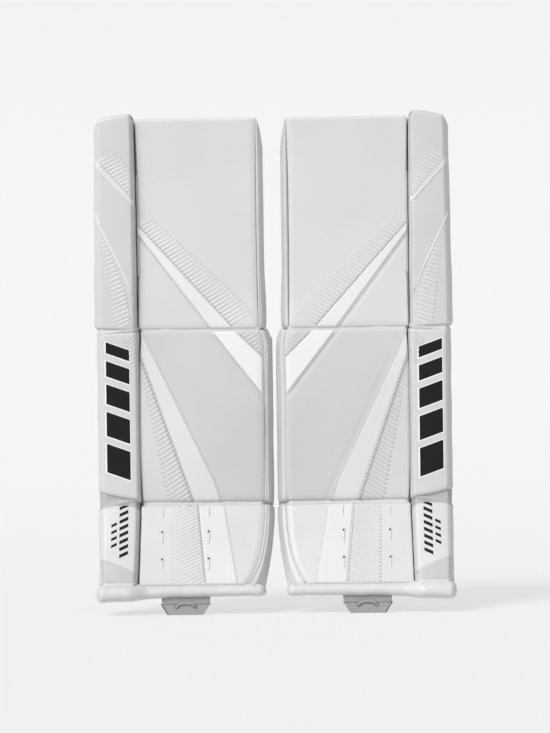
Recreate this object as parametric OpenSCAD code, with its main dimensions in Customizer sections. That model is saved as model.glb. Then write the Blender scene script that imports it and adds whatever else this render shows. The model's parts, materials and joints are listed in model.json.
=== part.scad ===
// A pair of ice-hockey goalie leg pads, upright, front face towards -Y.
// One pad is drawn with its inner edge at x = 0 and its outer edge at x = pad_w.
// The left leg's pad stands at +X, and the right leg's pad is its mirror image.

/* [Pair] */
// Gap between the two pads at the shins
pad_gap = 6; // [2:1:60]
// Depth of the hinge plane, which is the back of the foam, behind the origin
back_y = -9; // [-30:1:10]

/* [Front outline] */
// Width of the shin section, the widest part of the pad
pad_w = 280; // [270:1:290]
// How far the thigh section's inner edge stands in from the shin's
thigh_inset = 11; // [4:1:20]
// How far the thigh section's outer edge stands out from the shin's
thigh_flare = 3; // [0:1:8]
// How far the boot's inner edge has drawn in at the toe
toe_inset = 19; // [4:1:26]
// How far the boot's outer edge has flared out at the toe
toe_flare = 10; // [2:1:14]
// Width of the outer vertical roll
roll_w = 69; // [60:1:76]

/* [Heights] */
// Height of the knee hinge above the lowest edge
knee_z = 455; // [440:1:470]
// Height of the boot hinge above the lowest edge
boot_z = 166; // [155:1:180]
// Length of the thigh section from the knee hinge to the top edge
thigh_len = 341; // [300:1:380]
// Length of the boot section from the boot hinge to the toe roll
boot_len = 148; // [140:1:152]
// Height of the toe roll's underside
toe_z = 21; // [20:0.5:24]

/* [Bends] */
// Forward lean of the thigh section
thigh_lean = 7; // [0:0.5:12]
// Forward kick of the boot section
boot_kick = 22; // [16:0.5:26]
// Extra opening angle on each side of a crease, which lets it close a little
notch = 2; // [2:0.5:4]
// Gap between two sections at the hinge line
hinge_gap = 0.8; // [0.6:0.1:2]

/* [Layers] */
// Depth of the face in front of the hinge plane
face_t = 48; // [42:1:56]
// Thickness of the synthetic leather cover with its backing
cover_t = 3; // [2:0.5:4]
// Thickness of the stiffener board inside
board_t = 4; // [3:0.5:5]
// Thickness of the back panel
back_t = 11; // [8:1:14]
// Thickness of the padded liner in the leg channel
liner_t = 10; // [6:1:12]
// How far the outer roll stands proud of the face
roll_proud = 15; // [8:1:20]
// How far the toe roll stands proud of the face
toe_proud = 6; // [3:1:10]

/* [Knee and calf blocks] */
// Width of the knee block
knee_block_w = 48; // [40:1:50]
// Depth of the knee block behind the hinge plane
knee_block_d = 112; // [90:1:113]
// Height of the knee block
knee_block_h = 156; // [120:1:160]
// Width of the calf block
calf_block_w = 32; // [24:1:40]
// Depth of the calf block behind the hinge plane
calf_block_d = 96; // [80:1:97]
// Height of the calf block
calf_block_h = 106; // [90:1:110]
// Thickness of the sliding skid on the knee block
skid_t = 4; // [3:0.5:4]
// How far the skid stands back from the inner edge
skid_inset = 2; // [0:0.5:2]

/* [Wings and straps] */
// Thickness of the padded wings
wing_t = 12; // [8:1:12]
// Height of the knee wing
knee_wing_h = 100; // [80:1:104]
// Height of the calf wing
calf_wing_h = 150; // [120:1:154]
// Thickness of the elastic straps
strap_t = 3; // [2:0.5:3]
// Width of the knee and calf straps
strap_w = 50; // [30:1:52]
// Width of the boot strap
boot_strap_w = 38; // [25:1:38]

/* [Lacing and toe tie] */
// Radius of the boot lace
lace_r = 2; // [1.5:0.1:2]
// Distance between the two columns of lace
lace_span = 74; // [50:1:90]
// Width of the toe bridge at its top
bridge_top_w = 77; // [60:1:90]
// Width of the toe bridge at its lower edge
bridge_low_w = 55; // [50:1:60]
// Thickness of the toe bridge
bridge_t = 4; // [3:0.5:4]
// Distance between the two tie holes
tie_span = 29; // [24:1:34]
// Radius of the elastic toe tie
tie_r = 1.8; // [1.4:0.1:2]

/* [Hidden] */
$fn = 48;
SIDES = ["right", "left"];
PIECES = ["thigh_cover", "thigh_core", "thigh_board", "thigh_back", "thigh_roll",
    "shin_cover", "shin_core", "shin_board", "shin_back", "shin_roll", "shin_liner",
    "knee_block", "knee_skid", "calf_block",
    "boot_cover", "boot_core", "boot_back", "boot_roll", "toe_roll", "boot_liner",
    "boot_lace", "boot_eyelets", "toe_bridge", "toe_tie",
    "knee_wing", "knee_strap", "calf_wing", "calf_strap", "boot_strap", "boot_buckle"];

knee_cut = thigh_lean / 2 + notch;
boot_cut = boot_kick / 2 + notch;
groove_x = pad_w - roll_w;
front_y = -face_t;
roll_front_y = -face_t - roll_proud;
pocket_y = -back_t;
board_y = -back_t - board_t;
reach = 900;
lap = 20;

// The wings turn on a line near the outer edge, and the straps on the wings' free ends.
wing_x = pad_w - 18;
wing_y = wing_t / 2 + 2;
knee_tip = [wing_x - 12, 96];
calf_tip = [wing_x - 42, 134];
knee_wing_z = knee_z - 110;
calf_wing_z = boot_z + 19;
knee_strap_z = knee_z - 83;
calf_strap_z = boot_z + 69;
boot_strap_z = -94;

white = [0.92, 0.92, 0.92];
grey = [0.82, 0.82, 0.83];
dark = [0.12, 0.12, 0.13];
foam = [0.55, 0.60, 0.66];
nylon = [0.20, 0.20, 0.22];
board = [0.85, 0.85, 0.80];

// ---- Frames ----

module on_side(side)
    mirror([side == "right" ? 1 : 0, 0, 0]) translate([pad_gap / 2, back_y, 0]) children();

module on_thigh()
    translate([0, 0, knee_z]) rotate([thigh_lean, 0, 0]) children();

module on_boot()
    translate([0, 0, boot_z]) rotate([-boot_kick, 0, 0]) children();

// ---- Shapes that repeat ----

// A flat layer with an outline in x and z, between two depths
module layer(outline, y_front, y_rear)
    translate([0, y_rear, 0]) rotate([90, 0, 0]) linear_extrude(y_rear - y_front) polygon(outline);

// Everything above (side 1) or below (side -1) a plane through z that tilts about x
module beyond(z, tilt, side)
    translate([-reach / 3, 0, z]) rotate([tilt, 0, 0])
        translate([0, -reach / 2, side > 0 ? 0 : -reach]) cube(reach);

// A rectangle with round corners
module rounded(w, d, r)
    union() {
        translate([r, 0]) square([w - 2 * r, d]);
        translate([0, r]) square([w, d - 2 * r]);
        for (x = [r, w - r], y = [r, d - r]) translate([x, y]) circle(r);
    }

// The sideways step at point i of a path that gives a mitred edge one unit away from it
function unit(v) = v / norm(v);
function mitre(path, i) =
    let (last = len(path) - 1,
        before = unit(path[max(i, 1)] - path[max(i, 1) - 1]),
        after = unit(path[min(i, last - 1) + 1] - path[min(i, last - 1)]),
        mean = unit(before + after))
    [-mean.y, mean.x] / (mean * before);

// A strip of even thickness along a path
module strip(path, t)
    polygon(concat(
        [for (i = [0:len(path) - 1]) path[i] + mitre(path, i) * t / 2],
        [for (i = [len(path) - 1:-1:0]) path[i] - mitre(path, i) * t / 2]));

// A vertical roll with round front corners, its inner side at x = 0
module roll_bar(w, r)
    linear_extrude(reach, center = true)
        union() {
            translate([0, roll_front_y + r]) square([w, -roll_front_y - r]);
            translate([r, roll_front_y]) square([w - 2 * r, r]);
            for (x = [r, w - r]) translate([x, roll_front_y + r]) circle(r);
        }

// ---- Outlines in x and z, drawn in by a margin ----

function thigh_outline(m) = [
    [thigh_inset + m, -lap], [groove_x + thigh_flare - m, -lap],
    [groove_x + thigh_flare - m, thigh_len - m], [thigh_inset + 30, thigh_len - m],
    [thigh_inset + 10 + m / 2, thigh_len - 8 - m], [thigh_inset + m, thigh_len - 50]];

function shin_outline(m) = [
    [m, boot_z - lap], [groove_x - m, boot_z - lap], [groove_x - m, knee_z + lap], [m, knee_z + lap]];

function boot_outline(m) = [
    [m, lap], [m, -20], [toe_inset * 0.85 + m, m - boot_len], [groove_x + toe_flare / 2 - m, m - boot_len],
    [groove_x + 2 - m, -20], [groove_x + 2 - m, lap]];

module thigh_layer(y_front, y_rear, m = 0)
    difference() {
        layer(thigh_outline(m), y_front, y_rear);
        beyond(hinge_gap / 2 + m, -knee_cut, -1);
    }

module shin_layer(y_front, y_rear, m = 0)
    difference() {
        layer(shin_outline(m), y_front, y_rear);
        beyond(knee_z - hinge_gap / 2 - m, knee_cut, 1);
        beyond(boot_z + hinge_gap / 2 + m, -boot_cut, -1);
    }

module boot_layer(y_front, y_rear, m = 0)
    difference() {
        layer(boot_outline(m), y_front, y_rear);
        beyond(-hinge_gap / 2 - m, boot_cut, 1);
    }

// ---- Thigh section ----

module thigh_cover()
    color(grey) on_thigh() difference() {
        thigh_layer(front_y, pocket_y);
        thigh_layer(front_y + cover_t, pocket_y + 1, cover_t);
    }

module thigh_core()
    color(foam) on_thigh() thigh_layer(front_y + cover_t, board_y, cover_t);

module thigh_board()
    color(board) on_thigh() thigh_layer(board_y, pocket_y, cover_t);

module thigh_back()
    color(nylon) on_thigh() thigh_layer(pocket_y, 0);

module thigh_roll() {
    x0 = groove_x + thigh_flare;
    top = [[x0, -lap], [pad_w + thigh_flare, -lap], [pad_w + thigh_flare, thigh_len - 14],
        [pad_w - 5, thigh_len - 3], [pad_w - 22, thigh_len + 4], [x0 + 7, thigh_len + 9], [x0, thigh_len]];
    color(grey) on_thigh() difference() {
        intersection() {
            translate([x0, 0, 0]) roll_bar(roll_w, 12);
            layer(top, -reach / 3, 0);
        }
        beyond(hinge_gap / 2, -knee_cut, -1);
    }
}

// ---- Shin section ----

module shin_cover()
    color(grey) difference() {
        shin_layer(front_y, pocket_y);
        shin_layer(front_y + cover_t, pocket_y + 1, cover_t);
    }

module shin_core()
    color(foam) shin_layer(front_y + cover_t, board_y, cover_t);

module shin_board()
    color(board) shin_layer(board_y, pocket_y, cover_t);

module shin_back()
    color(nylon) shin_layer(pocket_y, 0);

module shin_roll()
    color(white) difference() {
        translate([groove_x, 0, 0]) roll_bar(roll_w, 12);
        beyond(knee_z - hinge_gap / 2, knee_cut, 1);
        beyond(boot_z + hinge_gap / 2, -boot_cut, -1);
    }

// Padded floor of the leg channel, where the shin rests
module shin_liner()
    color(nylon) translate([0, 0, boot_z + 14])
        linear_extrude(knee_z - boot_z - 26)
            translate([knee_block_w + 14, 0]) square([wing_x - knee_block_w - 30, liner_t]);

module knee_block()
    color(white) translate([skid_inset + skid_t, 0, knee_z - 7 - knee_block_h])
        linear_extrude(knee_block_h) rounded(knee_block_w, knee_block_d, 12);

// Slippery facing on the side of the knee block that lands on the ice
module knee_skid()
    color(dark) translate([skid_inset, 16, knee_z - 15 - (knee_block_h - 16)])
        cube([skid_t, knee_block_d - 32, knee_block_h - 16]);

module calf_block()
    color(white) translate([skid_t, 0, boot_z + 16])
        linear_extrude(calf_block_h) rounded(calf_block_w, calf_block_d, 10);

// ---- Boot section ----

// Depth, top and bottom of each visible run of the boot lace, measured down the face
lace_rows = [[16.5, 32], [60.5, 77], [106, 122]];
lace_x = [groove_x / 2 - lace_span / 2 + 36, groove_x / 2 + lace_span / 2 + 36];
eyelet_rows = [lace_rows[1][0], lace_rows[2][0]];
eyelet_t = 1;

module lace_holes(r)
    for (x = lace_x, row = lace_rows, z = row)
        translate([x, front_y + cover_t + 1, -z]) rotate([90, 0, 0]) cylinder(h = cover_t + 2, r = r);

module boot_cover()
    color(white) on_boot() difference() {
        boot_layer(front_y, pocket_y);
        boot_layer(front_y + cover_t, pocket_y + 1, cover_t);
        lace_holes(lace_r + 0.6);
    }

module boot_core()
    color(foam) on_boot() boot_layer(front_y + cover_t, pocket_y, cover_t);

module boot_back()
    color(nylon) on_boot() boot_layer(pocket_y, 0);

module boot_roll() {
    x0 = groove_x + 2;
    outline = [[x0, lap], [x0, -20], [x0 + toe_flare / 2 - 2, -boot_len],
        [pad_w + toe_flare * 0.9, -boot_len], [pad_w + 2, -20], [pad_w + 2, lap]];
    color(white) on_boot() difference() {
        layer(outline, roll_front_y, 0);
        beyond(-hinge_gap / 2, boot_cut, 1);
    }
}

// Padded roll across the toe, cut level underneath
module toe_roll() {
    low = boot_len + 40;
    face = [[toe_inset * 0.85, -boot_len], [toe_inset, -low],
        [groove_x + toe_flare / 2, -low], [groove_x + toe_flare / 2, -boot_len]];
    side = [[groove_x + toe_flare / 2, -boot_len], [groove_x + toe_flare / 2, -low],
        [pad_w + toe_flare, -low], [pad_w + toe_flare * 0.9, -boot_len]];
    color(white) difference() {
        on_boot() union() {
            layer(face, front_y - toe_proud, 0);
            layer(side, roll_front_y, 0);
        }
        beyond(toe_z, 0, -1);
    }
}

module boot_liner()
    color(nylon) on_boot() translate([0, 0, 12 - boot_len])
        linear_extrude(boot_len - 26) translate([52, 0]) square([wing_x - 68, liner_t - 2]);

// The lace shows as short upright runs, each with both ends in the cover's holes
module boot_lace() {
    run_y = front_y - eyelet_t - lace_r;
    color(grey) on_boot() for (x = lace_x, row = lace_rows) union() {
        translate([x, run_y, -row[1]]) cylinder(h = row[1] - row[0], r = lace_r);
        for (z = row) translate([x, run_y, -z]) {
            sphere(lace_r);
            rotate([-90, 0, 0]) cylinder(h = front_y + cover_t - 0.5 - run_y, r = lace_r);
        }
    }
}

module boot_eyelets()
    color(dark) on_boot() for (x = lace_x, z = eyelet_rows)
        translate([x, front_y, -z]) rotate([90, 0, 0]) difference() {
            cylinder(h = eyelet_t, r = lace_r + 2.6);
            translate([0, 0, -1]) cylinder(h = eyelet_t + 2, r = lace_r + 0.6);
        }

// ---- Toe bridge and tie ----

bridge_x = pad_w / 2 + 1;
bridge_y = -95;
bridge_hinge_z = toe_z - 3.5;
tie_z = bridge_hinge_z - 4.5;

module toe_bridge()
    color(grey) translate([bridge_x, bridge_y, 0]) difference() {
        union() {
            layer([[-bridge_top_w / 2, bridge_hinge_z], [-bridge_low_w / 2, 0],
                [bridge_low_w / 2, 0], [bridge_top_w / 2, bridge_hinge_z]], -bridge_t / 2, bridge_t / 2);
            translate([-bridge_top_w / 2, 0, bridge_hinge_z]) rotate([0, 90, 0])
                cylinder(h = bridge_top_w, d = bridge_t);
        }
        for (x = [-tie_span / 2, tie_span / 2])
            translate([x, bridge_t, tie_z]) rotate([90, 0, 0]) cylinder(h = 2 * bridge_t, r = tie_r + 0.7);
    }

// A ring of elastic cord through both holes of the bridge
module toe_tie()
    color(dark) translate([bridge_x, bridge_y, tie_z])
        rotate_extrude($fn = 64) translate([tie_span / 2, 0]) circle(tie_r, $fn = 24);

// ---- Wings and straps ----

module knee_wing()
    color(nylon) translate([0, 0, knee_wing_z]) linear_extrude(knee_wing_h)
        strip([[wing_x, wing_y], [wing_x, 62], knee_tip], wing_t);

module calf_wing()
    color(nylon) translate([0, 0, calf_wing_z]) linear_extrude(calf_wing_h)
        strip([[wing_x, wing_y], [wing_x, 66], [wing_x - 14, 108], calf_tip], wing_t);

// A strap starts just outside the free end of its wing, and ends behind its block
module knee_strap()
    color(dark) translate([0, 0, knee_strap_z]) linear_extrude(strap_w)
        strip([knee_tip + [9.2, 2.3], knee_tip + [6.7, 6.7], knee_tip + [1, 9.5],
            [200, 127], [120, 131], [66, 122], [14, knee_block_d + 4]], strap_t);

module calf_strap()
    color(dark) translate([0, 0, calf_strap_z]) linear_extrude(strap_w)
        strip([calf_tip + [8.6, 4.2], calf_tip + [4.8, 8.2], calf_tip + [-1, 9.5],
            [150, 141], [90, 128], [52, 106], [12, calf_block_d + 4]], strap_t);

module boot_strap()
    color(dark) on_boot() translate([0, 0, boot_strap_z]) linear_extrude(boot_strap_w)
        strip([[256, 7], [256, 48], [236, 80], [190, 97], [110, 97], [64, 86], [40, 56], [34, 14]], strap_t);

module boot_buckle()
    color(dark) on_boot() translate([138, 97, boot_strap_z + boot_strap_w / 2]) difference() {
        translate([0, -5, -boot_strap_w / 2 - 5]) cube([24, 10, boot_strap_w + 10]);
        translate([-1, -strap_t / 2 - 0.5, -boot_strap_w / 2 - 0.5]) cube([26, strap_t + 1, boot_strap_w + 1]);
    }

// ---- The pair ----

module draw(piece) {
    if (piece == "thigh_cover") thigh_cover();
    if (piece == "thigh_core") thigh_core();
    if (piece == "thigh_board") thigh_board();
    if (piece == "thigh_back") thigh_back();
    if (piece == "thigh_roll") thigh_roll();
    if (piece == "shin_cover") shin_cover();
    if (piece == "shin_core") shin_core();
    if (piece == "shin_board") shin_board();
    if (piece == "shin_back") shin_back();
    if (piece == "shin_roll") shin_roll();
    if (piece == "shin_liner") shin_liner();
    if (piece == "knee_block") knee_block();
    if (piece == "knee_skid") knee_skid();
    if (piece == "calf_block") calf_block();
    if (piece == "boot_cover") boot_cover();
    if (piece == "boot_core") boot_core();
    if (piece == "boot_back") boot_back();
    if (piece == "boot_roll") boot_roll();
    if (piece == "toe_roll") toe_roll();
    if (piece == "boot_liner") boot_liner();
    if (piece == "boot_lace") boot_lace();
    if (piece == "boot_eyelets") boot_eyelets();
    if (piece == "toe_bridge") toe_bridge();
    if (piece == "toe_tie") toe_tie();
    if (piece == "knee_wing") knee_wing();
    if (piece == "knee_strap") knee_strap();
    if (piece == "calf_wing") calf_wing();
    if (piece == "calf_strap") calf_strap();
    if (piece == "boot_strap") boot_strap();
    if (piece == "boot_buckle") boot_buckle();
}

for (side = SIDES) for (piece = PIECES)
    on_side(side) draw(piece);
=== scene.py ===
"""A pair of goalie leg pads: the looks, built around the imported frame.

One pad is designed once, in millimetres, in tilted section frames. A point is (u, d, v): u from the
pad's inner edge to its outer edge, d forward from the hinge plane at the back of the foam, and v up
along the section. Each piece is made for the left pad as drawn and for the right pad as its mirror
image.
"""

import json
import math

import bmesh
import bpy
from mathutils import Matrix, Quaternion, Vector, noise
from mathutils.bvhtree import BVHTree


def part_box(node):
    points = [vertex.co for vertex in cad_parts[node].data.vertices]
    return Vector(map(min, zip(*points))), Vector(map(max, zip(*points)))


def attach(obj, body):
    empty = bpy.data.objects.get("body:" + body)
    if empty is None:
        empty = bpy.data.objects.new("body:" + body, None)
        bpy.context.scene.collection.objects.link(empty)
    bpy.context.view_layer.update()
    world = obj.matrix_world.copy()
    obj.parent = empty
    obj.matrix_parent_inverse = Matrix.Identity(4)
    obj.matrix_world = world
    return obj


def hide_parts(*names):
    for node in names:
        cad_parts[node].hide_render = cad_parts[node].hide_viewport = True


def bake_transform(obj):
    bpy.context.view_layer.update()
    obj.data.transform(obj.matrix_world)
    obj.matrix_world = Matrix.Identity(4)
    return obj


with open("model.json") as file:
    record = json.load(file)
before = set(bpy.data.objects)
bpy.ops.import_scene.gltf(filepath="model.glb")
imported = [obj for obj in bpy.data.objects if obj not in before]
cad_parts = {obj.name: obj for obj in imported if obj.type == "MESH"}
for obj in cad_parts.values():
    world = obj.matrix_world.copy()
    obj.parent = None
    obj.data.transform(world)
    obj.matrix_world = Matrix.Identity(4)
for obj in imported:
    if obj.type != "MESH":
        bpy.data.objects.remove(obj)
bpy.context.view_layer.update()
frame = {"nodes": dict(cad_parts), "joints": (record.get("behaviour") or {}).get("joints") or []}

# ---------------------------------------------------------------- sizes, from the frame

MM = 0.001
SIDES = (("right", -1), ("left", 1))
JOINTS = {joint["name"]: joint for joint in frame["joints"]}
BACK_Y, KNEE_Z = [c / MM for c in JOINTS["left_knee_flex"]["pos_m"]][1:]
BOOT_Z = JOINTS["left_boot_flex"]["pos_m"][2] / MM
HALF_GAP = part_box("left_shin_back")[0].x / MM


def extent(node):
    """The low and high (u, d, height) of the left pad's copy of a node."""
    low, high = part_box(f"left_{node}")
    return ((low.x / MM - HALF_GAP, BACK_Y - high.y / MM, low.z / MM),
            (high.x / MM - HALF_GAP, BACK_Y - low.y / MM, high.z / MM))


(GROOVE, _, _), (PAD_W, ROLL_D, _) = extent("shin_roll")
FACE_D = extent("shin_cover")[1][1]
TOE_Z = extent("toe_roll")[0][2]
THIGH_IN = extent("thigh_back")[0][0]
THIGH_OUT = extent("thigh_roll")[1][0]
THIGH_LEN = 341
BOOT_LEN = 148
BACK_T = 11
LEAN = math.radians(7)
KICK = math.radians(22)
KNEE_CUT = LEAN / 2 + math.radians(1.65)
ANKLE_CUT = KICK / 2 + math.radians(2.9)
CREASE_GAP = 0.4

# Each section's tilt about the pad's width, and the height of its origin. The knee and ankle frames
# lie midway between their two sections.
SECTIONS = {"thigh": (LEAN, KNEE_Z), "shin": (0.0, 0.0), "boot": (-KICK, BOOT_Z),
            "knee": (LEAN / 2, KNEE_Z), "ankle": (-KICK / 2, BOOT_Z), "floor": (0.0, 0.0)}


def clamp(x, low=0.0, high=1.0):
    return max(low, min(high, x))


def smooth(x):
    x = clamp(x)
    return x * x * (3 - 2 * x)


def lerp(a, b, t):
    return a + (b - a) * t


def ripple(u, v, seed, size=70.0):
    return noise.noise(Vector((u / size, v / size, seed)))


def to_world(section, point, sign):
    """A section's (u, d, v) as a place in the world, on the left (sign 1) or right (-1) pad."""
    tilt, height = SECTIONS[section]
    u, d, v = point
    y = -d * math.cos(tilt) - v * math.sin(tilt)
    z = height - d * math.sin(tilt) + v * math.cos(tilt)
    return Vector((sign * (HALF_GAP + u), BACK_Y + y, z)) * MM


def steps(start, end, spacing, fine=None, margin=0.0):
    """Values from start to end, closer together within a margin of both ends."""
    values, x = [], 0.0
    while x < end - start - 1e-6:
        values.append(start + x)
        x += fine if fine and min(x, end - start - x) < margin else spacing
    return values + [end]


def circle(radius, count):
    """The points of a circle, as (cosine, sine) times its radius."""
    angles = [2 * math.pi * k / count for k in range(count)]
    return [(radius * math.cos(a), radius * math.sin(a)) for a in angles]


# ---------------------------------------------------------------- materials


class Finish:
    """A node material in the making. A colour is a grey value, tinted, or a socket."""

    def __init__(self, name, tint=(1.0, 1.0, 1.0)):
        self.made = bpy.data.materials.new(name)
        self.made.use_nodes = True
        self.nodes = self.made.node_tree.nodes
        self.link = self.made.node_tree.links.new
        self.inputs = self.nodes["Principled BSDF"].inputs
        self.coords = self.nodes.new("ShaderNodeTexCoord").outputs["Object"]
        self.tint = tint
        self.relief = None

    def texture(self, kind, scale, **settings):
        node = self.nodes.new("ShaderNodeTex" + kind)
        node.inputs["Scale"].default_value = scale
        for key, value in settings.items():
            if key in node.inputs:
                node.inputs[key].default_value = value
            else:
                setattr(node, key, value)
        self.link(self.coords, node.inputs["Vector"])
        return node.outputs["Distance" if kind == "Voronoi" else "Fac"]

    def ramp(self, source, low, high, start=0.0, end=1.0):
        """The values from start to end, spread from low to high."""
        node = self.nodes.new("ShaderNodeMapRange")
        for key, value in (("From Min", start), ("From Max", end), ("To Min", low), ("To Max", high)):
            node.inputs[key].default_value = value
        self.link(source, node.inputs["Value"])
        return node.outputs["Result"]

    def mix(self, factor, first, second):
        node = self.nodes.new("ShaderNodeMix")
        node.data_type = "RGBA"
        self.link(factor, node.inputs["Factor"])
        for target, value in zip([i for i in node.inputs if i.type == "RGBA"], (first, second)):
            if isinstance(value, bpy.types.NodeSocket):
                self.link(value, target)
            else:
                target.default_value = (*[value * t for t in self.tint], 1)
        return next(o for o in node.outputs if o.type == "RGBA")

    def coat(self, colour, rough, **levels):
        """The shader's colour and roughness sockets, and its plain numbers."""
        self.link(colour, self.inputs["Base Color"])
        self.link(rough, self.inputs["Roughness"])
        for key, value in levels.items():
            self.inputs[key.replace("_", " ")].default_value = value

    def bump(self, height, strength, distance):
        """Relief, on top of what is there already."""
        node = self.nodes.new("ShaderNodeBump")
        node.inputs["Strength"].default_value = strength
        node.inputs["Distance"].default_value = distance
        self.link(height, node.inputs["Height"])
        if self.relief:
            self.link(self.relief, node.inputs["Normal"])
        self.relief = node.outputs["Normal"]
        self.link(self.relief, self.inputs["Normal"])


def leather(name, value, rough=0.46, grain=620, depth=0.00022):
    """Coated synthetic leather: a pebbled grain, faint scuffs and slow changes of shade."""
    skin = Finish(name, (0.995, 0.998, 1.0))
    slow = skin.texture("Noise", 5.0, Detail=2.0)
    scuffs = skin.texture("Noise", 42.0, Detail=6.0, Roughness=0.7)
    shade = skin.mix(skin.ramp(slow, 0, 1, 0.35, 0.65), value * 0.965, min(value * 1.02, 0.95))
    worn = skin.mix(skin.ramp(scuffs, 0, 0.35, 0.62, 0.78), shade, value * 0.86)
    skin.coat(worn, skin.ramp(scuffs, rough - 0.06, rough + 0.1, 0.3, 0.7), Specular_IOR_Level=0.4)
    skin.bump(skin.texture("Voronoi", grain, feature="SMOOTH_F1", Smoothness=0.6), 0.35, depth)
    skin.bump(skin.texture("Noise", grain * 2.5, Detail=3.0), 0.25, depth * 0.6)
    return skin.made


def print_film(name, value):
    """Thin printed film over grained leather."""
    film = Finish(name)
    patches = film.texture("Noise", 60, Detail=5.0)
    film.coat(film.mix(patches, value * 0.85, value * 1.15), film.ramp(patches, 0.5, 0.65),
              Specular_IOR_Level=0.12)
    film.bump(film.texture("Voronoi", 620, feature="SMOOTH_F1", Smoothness=0.7), 0.25, 0.00015)
    return film.made


def woven(name, value, pitch=0.0011, rough=0.78):
    """A plain weave: two crossed sets of threads, with slubs and lint."""
    cloth = Finish(name, (1.0, 1.0, 1.04))
    cross = cloth.nodes.new("ShaderNodeMath")
    cross.operation = "MAXIMUM"
    for socket, axis in zip(cross.inputs, ("X", "Z")):
        threads = cloth.texture("Wave", 1.0 / pitch / 3.2, bands_direction=axis, Distortion=0.6,
                                **{"Detail Scale": 3.0})
        cloth.link(threads, socket)
    lint = cloth.texture("Noise", 90, Detail=6.0)
    base = cloth.mix(cross.outputs[0], value * 0.6, value * 1.15)
    cloth.coat(cloth.mix(cloth.ramp(lint, 0, 0.5, 0.5, 0.8), base, min(value * 1.9, 0.9)),
               cloth.ramp(lint, rough - 0.08, rough + 0.1), Sheen_Weight=0.25)
    cloth.bump(cross.outputs[0], 0.7, 0.0004)
    return cloth.made


def moulded(name, value, rough=0.42):
    """Moulded plastic or sheet: fine spark texture and light scratches."""
    sheet = Finish(name)
    marks = sheet.texture("Noise", 70, Detail=8.0, Roughness=0.75)
    sheet.coat(sheet.mix(sheet.ramp(marks, 0, 1, 0.35, 0.7), value, value * 0.88),
               sheet.ramp(marks, rough - 0.1, rough + 0.14))
    sheet.bump(sheet.texture("Noise", 1400, Detail=2.0), 0.3, 0.00012)
    return sheet.made


def braided(name, value, pitch=0.0016):
    """Braided cord: crossed diagonal strands."""
    cord = Finish(name)
    strands = cord.texture("Wave", 1 / pitch / 3.2, bands_direction="DIAGONAL")
    cord.coat(cord.mix(strands, value * 0.7, min(value * 1.1, 0.95)),
              cord.ramp(cord.texture("Noise", 900, Detail=4.0), 0.6, 0.9))
    cord.bump(strands, 0.8, 0.0004)
    return cord.made


FACE = leather("face_leather", 0.65)
WHITE = leather("white_leather", 0.615, rough=0.42)
SHIN_FACE = leather("shin_leather", 0.555)
SHIN_OUTER = leather("shin_outer_leather", 0.61)
ROLL = leather("roll_leather", 0.60, rough=0.44)
BAND = leather("band_leather", 0.76, rough=0.36, grain=900, depth=0.0001)
LOWER_BAND = leather("lower_band_leather", 0.67, rough=0.4, grain=800, depth=0.00012)
GUSSET = leather("gusset_leather", 0.60, rough=0.5)
# Darker leather for the roll part of the ankle crease: painted shade in the crease.
PAINTED_CREASE_SHADE = leather("painted_crease_shade_leather", 0.42, rough=0.5)
PANEL = leather("boot_side_leather", 0.50)
INK = print_film("black_print", 0.012)
INK_EDGE = print_film("white_print", 0.80)
THREAD = braided("sewing_thread", 0.52, pitch=0.0007)
THREAD_DARK = braided("dark_thread", 0.10, pitch=0.0007)
LACE = braided("lace_braid", 0.80)
ELASTIC = braided("tie_braid", 0.36)
NYLON = woven("back_weave", 0.045)
KNIT = woven("liner_knit", 0.07, pitch=0.0019, rough=0.9)
WING = woven("wing_weave", 0.055, pitch=0.0009)
BINDING = woven("binding_tape", 0.03, pitch=0.0008)
WEBBING = woven("strap_webbing", 0.025, pitch=0.0016)
HOOK = woven("hook_tape", 0.02, pitch=0.0013, rough=0.95)
SKID = moulded("skid_sheet", 0.72, rough=0.3)
BRIDGE = moulded("bridge_sheet", 0.33, rough=0.5)
BUCKLE = moulded("buckle_nylon", 0.02)
# Dark paint for the tie eyelets and the bridge edge, and painted shade in the boot's lace holes.
DARK_PAINT_AND_HOLE_SHADE = moulded("eyelet_paint_and_hole_shade", 0.03, rough=0.3)

# ---------------------------------------------------------------- mesh helpers
# A mesh is its vertices, its faces and a tag for each face.


def join(*meshes):
    """One mesh of several."""
    verts, faces, tags = [], [], []
    for part_verts, part_faces, part_tags in meshes:
        faces += [[len(verts) + i for i in face] for face in part_faces]
        verts += part_verts
        tags += part_tags
    return verts, faces, tags


def emit(name, section, mesh, looks, body=None, replaces=(), slot=None, fill=None, tagged=()):
    """The left and right pads' copies of one piece, each riding on its body. Faces tagged as in
    tagged take the first looks in turn, and all others take the last."""
    verts, faces, tags = mesh
    made = []
    for side, sign in SIDES:
        data = bpy.data.meshes.new(f"{side}_{name}")
        data.from_pydata([to_world(section, p, sign) for p in verts], [], faces)
        for one in looks:
            data.materials.append(one)
        for polygon, tag in zip(data.polygons, tags if tagged else ()):
            polygon.material_index = tagged.index(tag) if tag in tagged else len(tagged)
        work = bmesh.new()
        work.from_mesh(data)
        bmesh.ops.recalc_face_normals(work, faces=work.faces)
        work.to_mesh(data)
        work.free()
        data.shade_smooth()
        piece = bpy.data.objects.new(f"{side}_{name}", data)
        bpy.context.scene.collection.objects.link(piece)
        if body:
            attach(piece, f"{side}_{body}")
        if replaces:
            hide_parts(*[f"{side}_{node}" for node in replaces])
        made.append(piece)
    return made


def trim(name, section, parts, looks, slot="white_leather"):
    """Sewn or printed parts that ride on their section."""
    emit(name, section, join(*parts), [looks], section, slot=slot)


def bend(pieces, section, upper):
    """Bakes each piece's placing into its mesh, on no body. The ends of its crease, from the shin to the
    section across it, are worked out but not used.
    """
    reach = 6 if upper == "thigh" else -6
    for piece, (side, sign) in zip(pieces, SIDES):
        start, end = (tuple(to_world(section, (PAD_W / 2, 0, v), sign)) for v in (-reach, reach))
        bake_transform(piece)
        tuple(start)
        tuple(end)


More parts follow.
